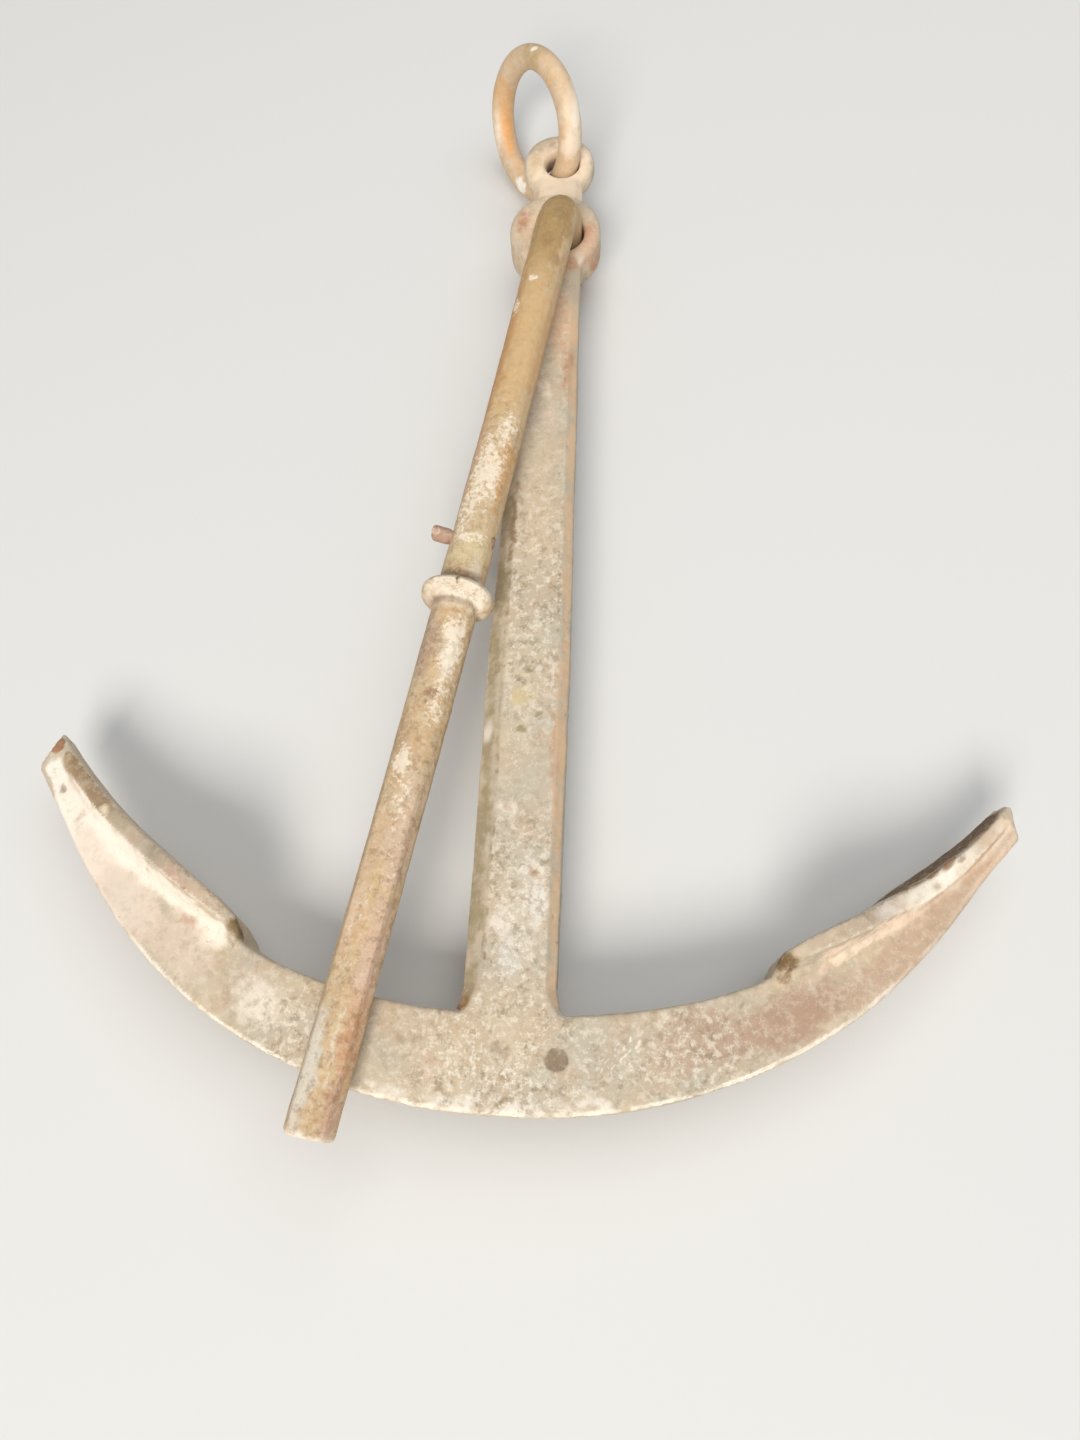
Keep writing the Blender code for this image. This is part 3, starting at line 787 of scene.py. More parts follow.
palm_stains_and_painted_light += [
    arm(-65.2, 259, 8, (16, 6.5, 10), (240, 232, 216), 0.95),
    arm(-43, 226, 33, (14, 4, 6), (196, 160, 138), 0.75, UPWARD),
    arm(-50, 232, 24, (11, 2.5, 6), (192, 178, 156), 0.75, UPWARD),
    arm(-57.3, 240.5, 17, (5, 3, 5), (240, 224, 196), 0.75),
    arm(-40.5, 237, 14, (7, 3.5, 5), (186, 152, 128), 0.7),
    # Painted shade: a dark olive spot on the left palm's heel end.
    arm(-34.4, 226.5, 22, (8, 8, 16), (128, 104, 66), 0.9),
]
palm_marks_and_painted_light = [
    arm(-68.4, 256.5, 8, (6, 5.5, 9), (158, 108, 70), 0.95),
    arm(-65.6, 251.5, 10, (8, 4.2, 9), (150, 118, 78), 0.8),
    arm(-62.9, 258, 9.5, (3.2, 2.0, 4), (128, 118, 100), 0.75),
]
print(len(palm_stains_and_painted_light), "stains on the left palm")

# %% Stains, painted highlights and painted shade on the right palm
palm_stains_and_painted_light += [
    arm(48, 256, 12, (40, 12, 6), (190, 164, 136), 0.5),
    arm(59, 258, 9, (26, 14, 12), (190, 156, 126), 0.9),
]
for index, (degrees, radius, up) in enumerate(RIGHT_EDGE):
    foot = (up + 13) / 2
    # Painted highlight: a light pink band on the fillet below the right palm's edge, on faces turned
    # outward, strongest near the heel.
    below = outward(degrees, 0.6, 0.5, 0.75)
    share = 0.85 if degrees < 47 else 0.4
    palm_stains_and_painted_light.append(arm(degrees, radius + 10, foot, (14, 9, 14), (242, 218, 192), share, below))
    tint = ((188, 168, 144), (214, 198, 178), (238, 226, 208))[(index > 2) + (index > 4)]
    palm_stains_and_painted_light.append(arm(degrees, radius, up, (14, 12, 8), tint, 0.85, UPWARD))
palm_stains_and_painted_light += [
    arm(53.6, 247, 17, (14, 6, 6), (252, 247, 228), 0.95),
    arm(49.6, 241.5, 20, (11, 4, 6), (244, 234, 214), 0.75),
    arm(45.2, 236, 25, (6, 3, 6), (240, 226, 214), 0.6),
    arm(50.5, 246, 19, (18, 5.5, 7), (244, 233, 213), 0.75),
    arm(55.5, 252, 15, (12, 5, 6), (236, 218, 194), 0.6),
    arm(62.8, 259, 9, (5, 6, 8), (232, 208, 180), 0.8),
    arm(51.5, 247, 19, (4, 2.2, 6), (176, 140, 104), 0.6),
    # Painted shade: a dark olive spot on the right palm's heel end.
    arm(33.0, 227, 22, (8, 9, 16), (120, 94, 58), 0.9),
]
palm_stains_and_painted_light.append(arm(60.5, 253, 12, (15, 8, 8), (206, 178, 148), 0.8, UPWARD))
# Painted highlight: a light line below the right palm's edge near its heel.
for degrees in (35.5, 37.5, 39.5, 41.5, 43.5):
    radius = 237.5 + 0.3 * (degrees - 35)
    palm_marks_and_painted_light.append(arm(degrees, radius, 15, (9, 3.2, 7), (234, 212, 188), 0.5))
# The right palm's inner face: rust brown, darkened further as painted shade on the faces turned inward.
for degrees in (47, 50, 54, 58, 62):
    turn = math.radians(degrees)
    inward = ((-math.sin(turn), math.cos(turn), 0), 0.5, 0.8)
    radius = 228 + 1.4 * (degrees - 46)
    palm_stains_and_painted_light.append(arm(degrees, radius, -2, (18, 12, 24), (106, 80, 50), 0.95, inward))
for degrees, radius, up in ((49.5, 235.5, 17), (51.5, 238, 17), (53.5, 241, 16.5), (55.5, 244.5, 16)):
    palm_marks_and_painted_light.append(arm(degrees, radius, up, (9, 2.4, 5), (156, 104, 54), 0.85))
palm_marks_and_painted_light.append(arm(56.2, 248.5, 15, (2.6, 1.6, 4), (150, 116, 80), 0.7))
# Painted shade: a small darker mark at the right palm's heel.
palm_marks_and_painted_light.append(arm(32.2, 231.5, 18, (5, 4, 9), (150, 120, 84), 0.6))
print(len(palm_stains_and_painted_light), "stains and", len(palm_marks_and_painted_light), "marks on both palms")

# %% Stains and painted shade on the shank and the head
shank_stains_and_shade = [
    shank(95, 3, 15, (52, 16, 6), (204, 194, 176), 0.5),
    shank(60, 4, 15, (26, 14, 6), (198, 178, 152), 0.45),
    shank(200, 0, 15, (60, 14, 6), (200, 186, 158), 0.45),
    shank(310, 2, 15, (70, 14, 6), (200, 180, 152), 0.7),
    shank(93, 11, 15, (17, 8, 6), (226, 218, 204), 0.75),
    shank(85, -6, 15, (15, 8, 6), (224, 212, 196), 0.6),
    shank(68, -1, 15, (12, 9, 6), (196, 192, 180), 0.6),
    shank(139, -6, 15, (8, 7.5, 5), (226, 216, 198), 0.6),
    shank(139.5, -6, 15, (3.6, 3.4, 5), (192, 170, 144), 0.8),
    shank(110, 11, 15, (8, 7, 5), (230, 220, 204), 0.6),
    shank(108, 10, 15, (4.4, 4.4, 5), (190, 160, 134), 0.85),
    shank(172, 15.5, 14.5, (60, 3.4, 5), (202, 166, 134), 0.6),
    shank(52, -23, 9, (8, 6, 14), (168, 122, 66), 0.85),
    shank(50, 24, 10, (6, 5, 14), TAN, 0.7),
    shank(430, 7, 13, (44, 12, 8), (210, 178, 146), 0.8),
    shank(398, 13, 12, (26, 5, 8), (178, 136, 102), 0.65),
    shank(385, 1, 14, (14, 7, 5), PALE, 0.6),
    shank(362, 3, 14, (18, 9, 5), PINK, 0.5),
    shank(197, -3, 15, (7, 8, 5), (200, 180, 136), 0.65),
    shank(554, 0, 4, (36, 34, 24), (233, 211, 182), 0.95),
    shank(532, 0, 4, (22, 24, 22), (230, 208, 180), 0.9),
    shank(562, 16, 6, (12, 7, 12), (240, 218, 192), 0.7),
    shank(558, -14, 6, (12, 5, 10), (208, 178, 136), 0.6),
    shank(497, 0, 6, (42, 42, 26), (214, 186, 154), 0.95),
    shank(507, -19, 12, (12, 7, 8), (180, 130, 96), 0.75),
    shank(497, 22, 12, (12, 7, 8), (186, 132, 102), 0.7),
    shank(490, 25, -2, (11, 6, 12), (184, 134, 104), 0.6),
    shank(492, 20, 8, (15, 9, 12), (212, 172, 146), 0.7),
    shank(478, 17, 10, (6, 6, 8), CREAM, 0.6),
    shank(472, 20, 4, (5, 4, 8), CREAM, 0.5),
    shank(474, 10, 11, (11, 10, 7), (192, 146, 112), 0.6),
    # Painted shade: a tan patch in the narrow neck between the boss and the lug.
    shank(530, -13, 8, (6, 6, 8), TAN, 0.6),
]
# Painted shade: the left bevels are darkened, as in the stock's shadow; the right bevels get a warm brown
# tint.
for along in range(50, 470, 42):
    shank_stains_and_shade.append(shank(along, -18, 11, (34, 8, 8), (160, 143, 112), 0.75, ON_LEFT_BEVEL))
    shank_stains_and_shade.append(shank(along, 18, 11, (34, 8, 8), (214, 182, 146), 0.7, ON_RIGHT_BEVEL))
shank_marks_and_shade = [
    shank(213, 1, 15, (3.0, 4.6, 4), (144, 130, 98), 0.85),
    shank(206, -3, 15, (2.6, 3.4, 4), (144, 130, 98), 0.85),
    shank(188, 7, 15, (3.0, 2.8, 4), (148, 132, 102), 0.8),
    shank(180, -2, 15, (2.6, 3.2, 4), (148, 132, 102), 0.8),
    shank(227, 5, 15, (1.6, 5.0, 4), (156, 140, 112), 0.55),
    shank(48, -21.5, 10, (5, 5, 12), (150, 112, 68), 0.85),
    # Painted shade: dark brown inside the lug's hole and inside the eye.
    (on_shank(556.6, 2.5, 0), (0, 1, 0), (16, 16, 9), (92, 68, 46), 0.85, None),
    (on_shank(500.2, 5.3, 0), (0, 1, 0), (22, 22, 15), (100, 74, 50), 0.85, None),
]
for along in (75, 120, 165, 210, 255):
    shank_marks_and_shade.append(shank(along, -12.7, 14, (30, 1.9, 4), (156, 134, 104), 0.45))
    shank_marks_and_shade.append(shank(along, 14.2, 14, (28, 1.1, 4), (178, 134, 102), 0.5))
shank_stains_and_shade.append(shank(180, -18, 11, (8, 5, 6), CHALK, 0.75, ON_LEFT_BEVEL))
shank_stains_and_shade.append(shank(290, -12.6, 14, (60, 3.2, 4), (134, 108, 78), 0.6))
far_stains = [
    arm(-25, 245, -15, (34, 14, TALL), BROWN, 0.5),
    arm(12, 240, -15, (26, 16, TALL), OCHRE, 0.5),
    arm(38, 240, -16, (30, 10, TALL), BROWN, 0.6),
    arm(-46, 240, -16, (30, 10, TALL), ORANGE, 0.35),
    arm(30, 252, -14, (26, 10, TALL), CHALK, 0.5),
    arm(-8, 250, -15, (18, 10, 8), CHALK, 0.5),
    shank(140, 2, -15, (40, 14, 8), OCHRE, 0.4),
    shank(260, -4, -15, (50, 12, 8), STONE, 0.6),
    shank(400, 2, -13, (44, 12, 8), BROWN, 0.45),
    shank(500, 4, -13, (22, 20, 8), PINK, 0.6),
]
forging_crust = [
    shank(80, 2, 15, (56, 18, 5), CREAM, 0.30),
    arm(0, 238, 15, (80, 22, 5), CREAM, 0.26),
    arm(-24, 246, 15, (40, 16, 5), CREAM, 0.26),
    arm(54, 248, 17, (16, 6, 6), CREAM, 0.5, UPWARD),
    shank(170, 0, 15, (60, 16, 5), CREAM, 0.22),
    arm(16, 246, 15, (34, 20, 5), CREAM, 0.24),
    shank(160, 0, -15, (60, 14, 6), CREAM, 0.35),
]
forging_stains_and_painted_light = arm_stains_and_highlights + palm_stains_and_painted_light + shank_stains_and_shade + far_stains
forging_marks_and_painted_light = arm_marks + palm_marks_and_painted_light + shank_marks_and_shade
paint_stains(forging, smooth_forging, forging_normals, forging_stains_and_painted_light, forging_crust, forging_marks_and_painted_light)

# %% Stains and painted shade on the stock
stock_stains_and_shade = [
    bar(20, 0, 8, (70, 18, 18), (168, 137, 88), 0.9),
    bar(110, 0, 8, (90, 18, 18), (204, 170, 122), 0.8),
    bar(110, -8, 6, (80, 6, TALL), (188, 138, 88), 0.7),
    bar(100, 12, 2, (70, 5, TALL), (200, 158, 112), 0.6),
    bar(190, 9, 4, (46, 6, TALL), (200, 156, 104), 0.7),
    bar(190, -8, 6, (40, 7, TALL), (196, 158, 122), 0.6),
    bar(18, 3, 11, (8, 5, 6), (138, 112, 72), 0.5),
    bar(39, 1, 11, (9, 5, 6), (148, 112, 70), 0.5),
    bar(50, 6, 9, (8, 4, 6), (152, 116, 76), 0.4),
    bar(238, 2, 8, (24, 18, TALL), (206, 186, 146), 0.8),
    bar(248, 8, 7, (12, 5, TALL), PALE, 0.5),
    bar(262, 2, 4, (13, 28, 28), (234, 222, 202), 0.95),
    # Brown along the collar's upper edge: dirt, with painted shade in the crease.
    bar(253.5, 0, 12, (4.6, 13, 9), (158, 122, 86), 0.6),
    bar(264, -10, 10, (5, 6, 8), (206, 184, 156), 0.7),
    bar(290, -5, 6, (38, 9, TALL), (180, 152, 126), 0.85),
    bar(292, 6, 8, (26, 8, 10), (226, 212, 190), 0.7),
    bar(317, 3, 10, (6, 5, 6), (160, 128, 100), 0.6),
    bar(338, -4, 8, (26, 8, 10), (184, 154, 118), 0.7),
    bar(345, 4, 9, (12, 7, 8), (196, 160, 118), 0.5),
    bar(395, -5, 8, (40, 9, 12), (206, 176, 142), 0.65),
    bar(385, 6, 6, (60, 11, 14), (204, 176, 148), 0.75),
    bar(445, 8, 6, (44, 9, 14), (208, 176, 150), 0.75),
    bar(430, -4, 8, (34, 8, 12), (216, 186, 156), 0.6),
    bar(492, -6, 8, (42, 9, 12), (214, 204, 186), 0.9),
    bar(480, 9, 6, (34, 7, 14), (196, 150, 112), 0.8),
    bar(508, 8, 6, (20, 7, 12), (194, 158, 130), 0.8),
    bar(480, 3, 10, (30, 1.8, 6), (230, 214, 190), 0.6),
    bar(522, 0, 4, (9, 20, 20), (230, 218, 200), 0.9),
    bar(300, 0, -11, (70, 12, 8), BROWN, 0.5),
    bar(420, 0, -11, (60, 12, 8), OCHRE, 0.5),
    bar(120, 0, -11, (60, 12, 8), PALE, 0.5),
]
stock_crust = [
    bar(66, -2, 11, (4, 5, 5), CREAM, 0.8),
    bar(84, -8, 7, (9, 4, 6), CREAM, 0.7),
    bar(163, 7, 8, (16, 8, 8), CREAM, 0.52),
    bar(180, 1, 8, (30, 13, 10), CREAM, 0.52),
    bar(200, 1, 8, (26, 13, 10), CREAM, 0.56),
    bar(220, -3, 8, (22, 9, 8), CREAM, 0.5),
    bar(231, 3, 10, (6, 12, 8), CREAM, 0.5),
    bar(261, 2, 6, (8, 24, 22), CREAM, 0.4),
    bar(281, 6, 7, (13, 9, 10), CREAM, 0.75),
    bar(294, 6, 7, (22, 10, 10), CREAM, 0.62),
    bar(310, 6, 6, (18, 9, 10), CREAM, 0.55),
    bar(326, 6, 8, (12, 8, 8), CREAM, 0.5),
    bar(352, -2, 9, (12, 7, 8), CREAM, 0.75),
    bar(366, 2, 9, (24, 9, 8), CREAM, 0.4),
    bar(400, 4, 8, (50, 11, 9), CREAM, 0.26),
    bar(445, -2, 8, (50, 10, 9), CREAM, 0.24),
    bar(495, 2, 8, (30, 10, 9), CREAM, 0.2),
    bar(120, 0, -10, (22, 8, 8), CREAM, 0.6),
    bar(440, -4, -9, (18, 8, 8), CREAM, 0.5),
]
stock_marks_and_shade = [
    # Darker bands in the creases on both sides of the collar: dirt, with painted shade.
    bar(266.5, 1, 1, (4.0, 15.5, 15.5), (150, 124, 98), 0.75),
    bar(254.5, 2, 9, (3.6, 14, 13), (150, 118, 82), 0.8),
    bar(250.5, 1, 1, (3.4, 15, 15), (128, 102, 70), 0.6),
    bar(258.0, 3.2, 18, (3.4, 0.8, 5), (96, 70, 48), 0.95),
    bar(261.4, 3.8, 18, (0.9, 2.2, 5), (96, 70, 48), 0.95),
]
paint_stains(stock, smooth_stock, stock_normals, stock_stains_and_shade, stock_crust, stock_marks_and_shade)

# %% Stains and painted highlights on the ring and the key
inner_left = ((0.75, -0.3, 0.35), 0.2, 0.6)
lit_outer_left = ((-0.9, -0.3, 0.2), 0.35, 0.75)
ring_stains_and_highlights = [
    shank(613, -39, 12, (26, 12, 20), (214, 172, 124), 0.7),
    shank(600, -38, -10, (30, 12, 26), (226, 168, 108), 0.85, inner_left),
    shank(580, -32, -22, (20, 10, 16), (226, 172, 116), 0.75, inner_left),
    # Painted highlight: a pale band on the ring's outer left side.
    shank(596, -43, -8, (30, 6, 26), (242, 222, 198), 0.75, lit_outer_left),
    shank(566, 10, 36, (40, 14, 30), (224, 202, 172), 0.7),
    # Painted highlights: whitish streaks along the middle of the ring's right limb.
    shank(568, 11, 38, (34, 4, 26), (240, 228, 208), 0.7),
    shank(556, 8, 24, (12, 8, 12), (238, 218, 194), 0.7),
    shank(602, -12, 45, (18, 20, 14), (188, 162, 118), 0.8),
    shank(570, -27, -22, (10, 8, 8), (248, 240, 226), 0.9),
]
ring_marks = [shank(602, -15, 50, (2.2, 3.0, 3), CREAM, 0.95)]
paint_stains(ring, smooth_ring, ring_normals, ring_stains_and_highlights, [], ring_marks)
key_head = Vector(key_centre) + key_pull * key_length * 0.45
key_stains_and_highlight = [
    (key_head, key_pull, (5, 6, 6), (190, 150, 130), 0.7, None),
    # Painted highlight: the top of the key's head is made lighter, once as a stain and once as crust.
    (key_head + Vector((0, 0, 4 * MM)), key_pull, (9, 5, 3), (212, 186, 160), 0.4, None),
]
paint_stains(key, smooth_key, key_normals, key_stains_and_highlight, key_stains_and_highlight[1:])

# %% [markdown]
# ## Shader tools
# The four irons share the same kinds of wear, so each kind is a node group with named inputs:
# a ragged edge for stains, a fine grain of scale, a bloom of rust, worn edges and dirty hollows.
# A group gives out a colour, masks or a height.  Every material mixes them with its own values.

# %% Node helpers


def wire(tree, kind, inputs, **settings):
    """Add a node, set it up, and give its inputs values or links."""
    made = tree.nodes.new("ShaderNode" + kind)
    for name, value in settings.items():
        setattr(made, name, value)
    for name, value in inputs.items():
        if isinstance(value, bpy.types.NodeSocket):
            tree.links.new(value, made.inputs[name])
        else:
            made.inputs[name].default_value = value
    return made


def math_node(tree, operation, first, second):
    """One sum on two numbers."""
    return wire(tree, "Math", {0: first, 1: second}, operation=operation).outputs[0]


def times(tree, first, second):
    """Two numbers multiplied."""
    return math_node(tree, "MULTIPLY", first, second)


def smooth_step(tree, value, low, high):
    """A soft threshold: 0 below low, 1 above high."""
    inputs = {"Value": value, "From Min": low, "From Max": high}
    return wire(tree, "MapRange", inputs, interpolation_type="SMOOTHSTEP").outputs[0]


def mix_colour(tree, share, first, second):
    """The first colour where the share is 0, the second where it is 1."""
    return wire(tree, "Mix", {0: share, 6: first, 7: second}, data_type="RGBA").outputs[2]


def lay_over(tree, colour, tint, mask, strength):
    """A colour with another one over it, where a mask says and as strongly as strength says."""
    return mix_colour(tree, times(tree, mask, strength), colour, tint)


def noise_value(tree, vector, scale, detail, roughness, distortion=0.0):
    """Fractal noise between 0 and 1."""
    inputs = {"Vector": vector, "Scale": scale, "Detail": detail, "Roughness": roughness}
    inputs["Distortion"] = distortion
    return wire(tree, "TexNoise", inputs).outputs[0]


def new_group(title, numbers, outputs):
    """A shader node group with a Vector input, number inputs and the outputs named."""
    tree = bpy.data.node_groups.new(title, "ShaderNodeTree")
    tree.interface.new_socket(name="Vector", in_out="INPUT", socket_type="NodeSocketVector")
    for name, value in numbers.items():
        socket = tree.interface.new_socket(name=name, in_out="INPUT", socket_type="NodeSocketFloat")
        socket.default_value = value
    for name, kind in outputs.items():
        tree.interface.new_socket(name=name, in_out="OUTPUT", socket_type=kind)
    return tree, tree.nodes.new("NodeGroupInput").outputs, tree.nodes.new("NodeGroupOutput").inputs


NUMBER = "NodeSocketFloat"
COLOUR = "NodeSocketColor"
print("node helpers ready")

# %% Group: ragged edge
numbers = {"Amount": 0.5, "Size": 0.006, "Softness": 0.2}
ragged, given, result = new_group("ragged edge", numbers, {"Mask": NUMBER})
scale = math_node(ragged, "DIVIDE", 1.0, given["Size"])
cloud = smooth_step(ragged, noise_value(ragged, given["Vector"], scale, 5.0, 0.66), 0.30, 0.70)
spread = math_node(ragged, "MULTIPLY_ADD", given["Softness"], 2.0)
spread.node.inputs[2].default_value = 1.0
amount = times(ragged, given["Amount"], spread)
cover = math_node(ragged, "SUBTRACT", amount, given["Softness"])
low_edge = math_node(ragged, "SUBTRACT", cloud, given["Softness"])
high_edge = math_node(ragged, "ADD", cloud, given["Softness"])
ragged.links.new(smooth_step(ragged, cover, low_edge, high_edge), result["Mask"])
print("group:", ragged.name)

# %% Group: scale grain
outputs = {"Light": NUMBER, "Dark": NUMBER, "Height": NUMBER}
grain, given, result = new_group("scale grain", {"Size": 0.005}, outputs)
scale = math_node(grain, "DIVIDE", 1.0, given["Size"])
fine = noise_value(grain, given["Vector"], scale, 6.0, 0.78)
shifted = wire(grain, "VectorMath", {0: given["Vector"], 1: (0.37, 0.11, 0.23)}, operation="ADD").outputs[0]
coarse = noise_value(grain, shifted, times(grain, scale, 0.7), 6.0, 0.74)
grain.links.new(smooth_step(grain, fine, 0.47, 0.62), result["Light"])
grain.links.new(smooth_step(grain, coarse, 0.48, 0.64), result["Dark"])
height = math_node(grain, "SUBTRACT", fine, times(grain, coarse, 0.7))
grain.links.new(height, result["Height"])
print("group:", grain.name)

# %% Group: rust bloom
numbers = {"Size": 0.02, "Cover": 0.4}
bloom, given, result = new_group("rust bloom", numbers, {"Color": COLOUR, "Mask": NUMBER})
scale = math_node(bloom, "DIVIDE", 1.0, given["Size"])
patches = noise_value(bloom, given["Vector"], scale, 6.0, 0.68, 0.3)
threshold = math_node(bloom, "SUBTRACT", 0.74, times(bloom, given["Cover"], 0.5))
full = math_node(bloom, "ADD", threshold, 0.22)
bloom.links.new(smooth_step(bloom, patches, threshold, full), result["Mask"])
shades = noise_value(bloom, given["Vector"], times(bloom, scale, 3.0), 4.0, 0.7)
ramp = wire(bloom, "ValToRGB", {0: shades})
for index, (place, tint) in enumerate(((0.32, UMBER), (0.46, BROWN), (0.58, OCHRE), (0.70, ORANGE))):
    stop = ramp.color_ramp.elements[index] if index < 2 else ramp.color_ramp.elements.new(place)
    stop.position = place
    stop.color = chip(*tint)
bloom.links.new(ramp.outputs[0], result["Color"])
print("group:", bloom.name)

# %% Group: worn edge
worn, given, result = new_group("worn edge", {"Size": 0.008, "Reach": 0.06}, {"Mask": NUMBER})
bend = worn.nodes.new("ShaderNodeNewGeometry").outputs["Pointiness"]
edge = smooth_step(worn, bend, 0.52, math_node(worn, "ADD", 0.52, given["Reach"]))
scale = math_node(worn, "DIVIDE", 1.0, given["Size"])
gaps = smooth_step(worn, noise_value(worn, given["Vector"], scale, 4.0, 0.6), 0.3, 0.65)
worn.links.new(times(worn, edge, gaps), result["Mask"])
print("group:", worn.name)

# %% Group: relief masks
numbers = {"Depth": 0.3, "Height": 0.3}
hollow, given, result = new_group("relief masks", numbers, {"Pit": NUMBER, "High": NUMBER})
level = wire(hollow, "Attribute", {}, attribute_name="relief").outputs["Fac"]
sunk = times(hollow, level, -1.0)
shallow = times(hollow, given["Depth"], 0.3)
hollow.links.new(smooth_step(hollow, sunk, shallow, given["Depth"]), result["Pit"])
low_rise = times(hollow, given["Height"], 0.2)
hollow.links.new(smooth_step(hollow, level, low_rise, given["Height"]), result["High"])
print("group:", hollow.name)

# %% [markdown]
# ## The irons
# All four are the same weathered iron with other colours and amounts: two earth tones in large
# clouds, a warmer tone over them, the painted stains with broken edges (among them painted
# highlights and painted shade), a faint bloom of rust, the dark and light grain of the scale,
# pale high spots, dark pits, crisp flakes of crust, and pale rubbed edges.


# %% Iron material


def placed(tree, group, vector, **values):
    """One of the groups in a material, with its own values."""
    return wire(tree, "Group", {"Vector": vector, **values}, node_tree=group).outputs


def weathered_iron(title, tones, clouds, softness, rust, speckle, flaking, edges, roughness, metallic):
    """The material of one piece, built up layer by layer."""
    tones = {name: chip(*tint) for name, tint in tones.items()}
    material = bpy.data.materials.new(title)
    material.use_nodes = True
    tree = material.node_tree
    shader = tree.nodes["Principled BSDF"]
    vector = wire(tree, "TexCoord", {}).outputs["Object"]
    grit = wire(tree, "Attribute", {}, attribute_name="grit").outputs["Fac"]
    large = smooth_step(tree, noise_value(tree, vector, 1 / clouds, 4.0, 0.62), 0.34, 0.66)
    colour = mix_colour(tree, large, tones["first"], tones["second"])
    medium = smooth_step(tree, noise_value(tree, vector, 2.7 / clouds, 6.0, 0.7, 0.3), 0.42, 0.70)
    colour = lay_over(tree, colour, tones["warm"], medium, 0.7)
    # The stain attribute carries the painted stains together with the painted highlights and painted shade.
    paint = wire(tree, "Attribute", {}, attribute_name="stain")
    amount = paint.outputs["Alpha"]
    mask = placed(tree, ragged, vector, Amount=amount, Size=0.006, Softness=softness)["Mask"]
    colour = mix_colour(tree, mask, colour, paint.outputs["Color"])
    rusty = placed(tree, bloom, vector, Size=rust["size"], Cover=rust["cover"])
    colour = lay_over(tree, colour, rusty["Color"], rusty["Mask"], rust["strength"])
    grains = placed(tree, grain, vector, Size=speckle["size"])
    dark = times(tree, grit, speckle["dark"])
    colour = lay_over(tree, colour, tones["dark"], grains["Dark"], dark)
    light = times(tree, grit, speckle["light"])
    colour = lay_over(tree, colour, tones["edge"], grains["Light"], light)
    marks = placed(tree, hollow, vector, Depth=0.36, Height=0.3)
    colour = lay_over(tree, colour, tones["edge"], marks["High"], 0.22)
    colour = lay_over(tree, colour, tones["pit"], marks["Pit"], 0.4)
    flakes = wire(tree, "Attribute", {}, attribute_name="crust").outputs["Fac"]
    flakes = placed(tree, ragged, vector, Amount=flakes, Size=flaking["size"], Softness=0.3)["Mask"]
    colour = lay_over(tree, colour, tones["crust"], flakes, flaking["strength"])
    rubbed = placed(tree, worn, vector, Size=0.012, Reach=0.07)["Mask"]
    colour = lay_over(tree, colour, tones["edge"], rubbed, edges)
    tree.links.new(colour, shader.inputs["Base Color"])
    dull = math_node(tree, "SUBTRACT", roughness, times(tree, rubbed, 0.2))
    dull = math_node(tree, "ADD", dull, times(tree, medium, 0.08))
    tree.links.new(dull, shader.inputs["Roughness"])
    shader.inputs["Metallic"].default_value = metallic
    rough = noise_value(tree, vector, 700.0, 3.0, 0.65)
    height = math_node(tree, "ADD", grains["Height"], times(tree, rough, 0.5))
    height = times(tree, height, math_node(tree, "ADD", grit, 0.5))
    bump = wire(tree, "Bump", {"Height": height, "Strength": 0.6, "Distance": 0.4 * MM})
    tree.links.new(bump.outputs["Normal"], shader.inputs["Normal"])
    return material


print("iron material ready")

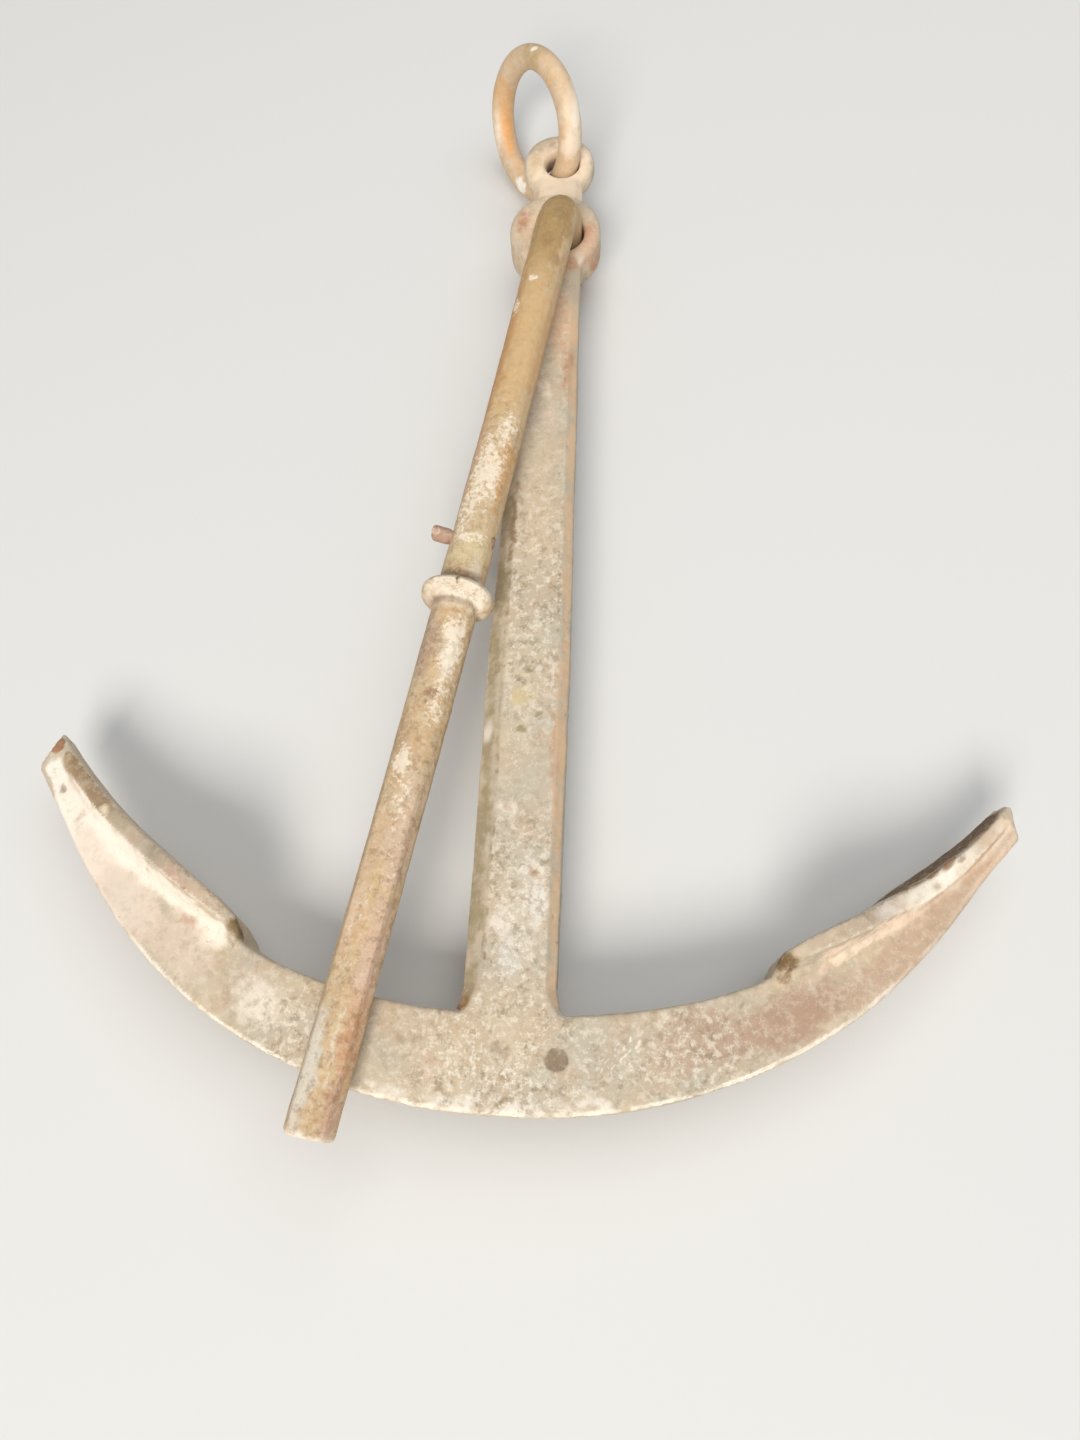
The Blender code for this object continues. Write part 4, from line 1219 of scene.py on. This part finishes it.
# %% Four irons
forging_iron = weathered_iron(
    "forging_iron",
    {
        "first": (200, 182, 154),
        "second": (186, 176, 156),
        "warm": (192, 166, 138),
        "dark": (144, 124, 98),
        "pit": (110, 90, 68),
        "edge": (234, 224, 206),
        "crust": (242, 233, 216),
    },
    clouds=0.05,
    softness=0.85,
    rust={"size": 0.026, "cover": 0.3, "strength": 0.3},
    speckle={"size": 0.0038, "light": 0.8, "dark": 0.85},
    flaking={"size": 0.0024, "strength": 0.7},
    edges=0.5,
    roughness=0.84,
    metallic=0.05,
)
stock_iron = weathered_iron(
    "stock_iron",
    {
        "first": (206, 176, 134),
        "second": (196, 174, 138),
        "warm": (198, 158, 114),
        "dark": (136, 102, 68),
        "pit": (104, 80, 56),
        "edge": (226, 210, 182),
        "crust": (240, 226, 204),
    },
    clouds=0.04,
    softness=0.7,
    rust={"size": 0.022, "cover": 0.36, "strength": 0.3},
    speckle={"size": 0.0034, "light": 0.4, "dark": 0.5},
    flaking={"size": 0.0024, "strength": 0.78},
    edges=0.4,
    roughness=0.78,
    metallic=0.08,
)
ring_iron = weathered_iron(
    "ring_iron",
    {
        "first": (216, 188, 152),
        "second": (208, 186, 156),
        "warm": (214, 170, 124),
        "dark": (160, 128, 96),
        "pit": (130, 100, 74),
        "edge": (240, 226, 204),
        "crust": (246, 236, 218),
    },
    clouds=0.03,
    softness=1.1,
    rust={"size": 0.02, "cover": 0.3, "strength": 0.25},
    speckle={"size": 0.004, "light": 0.3, "dark": 0.3},
    flaking={"size": 0.003, "strength": 0.8},
    edges=0.3,
    roughness=0.6,
    metallic=0.12,
)
key_iron = weathered_iron(
    "key_iron",
    {
        "first": (180, 144, 122),
        "second": (172, 140, 118),
        "warm": (164, 122, 98),
        "dark": (120, 90, 72),
        "pit": (94, 70, 56),
        "edge": (214, 190, 166),
        "crust": (226, 208, 188),
    },
    clouds=0.012,
    softness=0.7,
    rust={"size": 0.01, "cover": 0.36, "strength": 0.3},
    speckle={"size": 0.003, "light": 0.4, "dark": 0.4},
    flaking={"size": 0.002, "strength": 0.8},
    edges=0.4,
    roughness=0.78,
    metallic=0.08,
)

# %% [markdown]
# ## Put it together
# Every piece gets its material, takes the place of its frame piece, and rides on that piece's
# body, so that the ring swings, the stock turns and the key slides as the joints say.

# %% Ride on the frame
for piece, material, node, body, slot in (
    (forging, forging_iron, "anchor_body", "anchor", "anchor_iron"),
    (ring, ring_iron, "ring", "ring", "ring_iron"),
    (stock, stock_iron, "stock", "stock", "stock_iron"),
    (key, key_iron, "stock_key", "key", "key_iron"),
):
    piece.data.materials.clear()
    piece.data.materials.append(material)
    pick(piece)
    bpy.ops.object.shade_smooth()
    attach(piece, body)
    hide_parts(node)
    print(piece.name, len(piece.data.loop_triangles), "triangles, rides on", body)
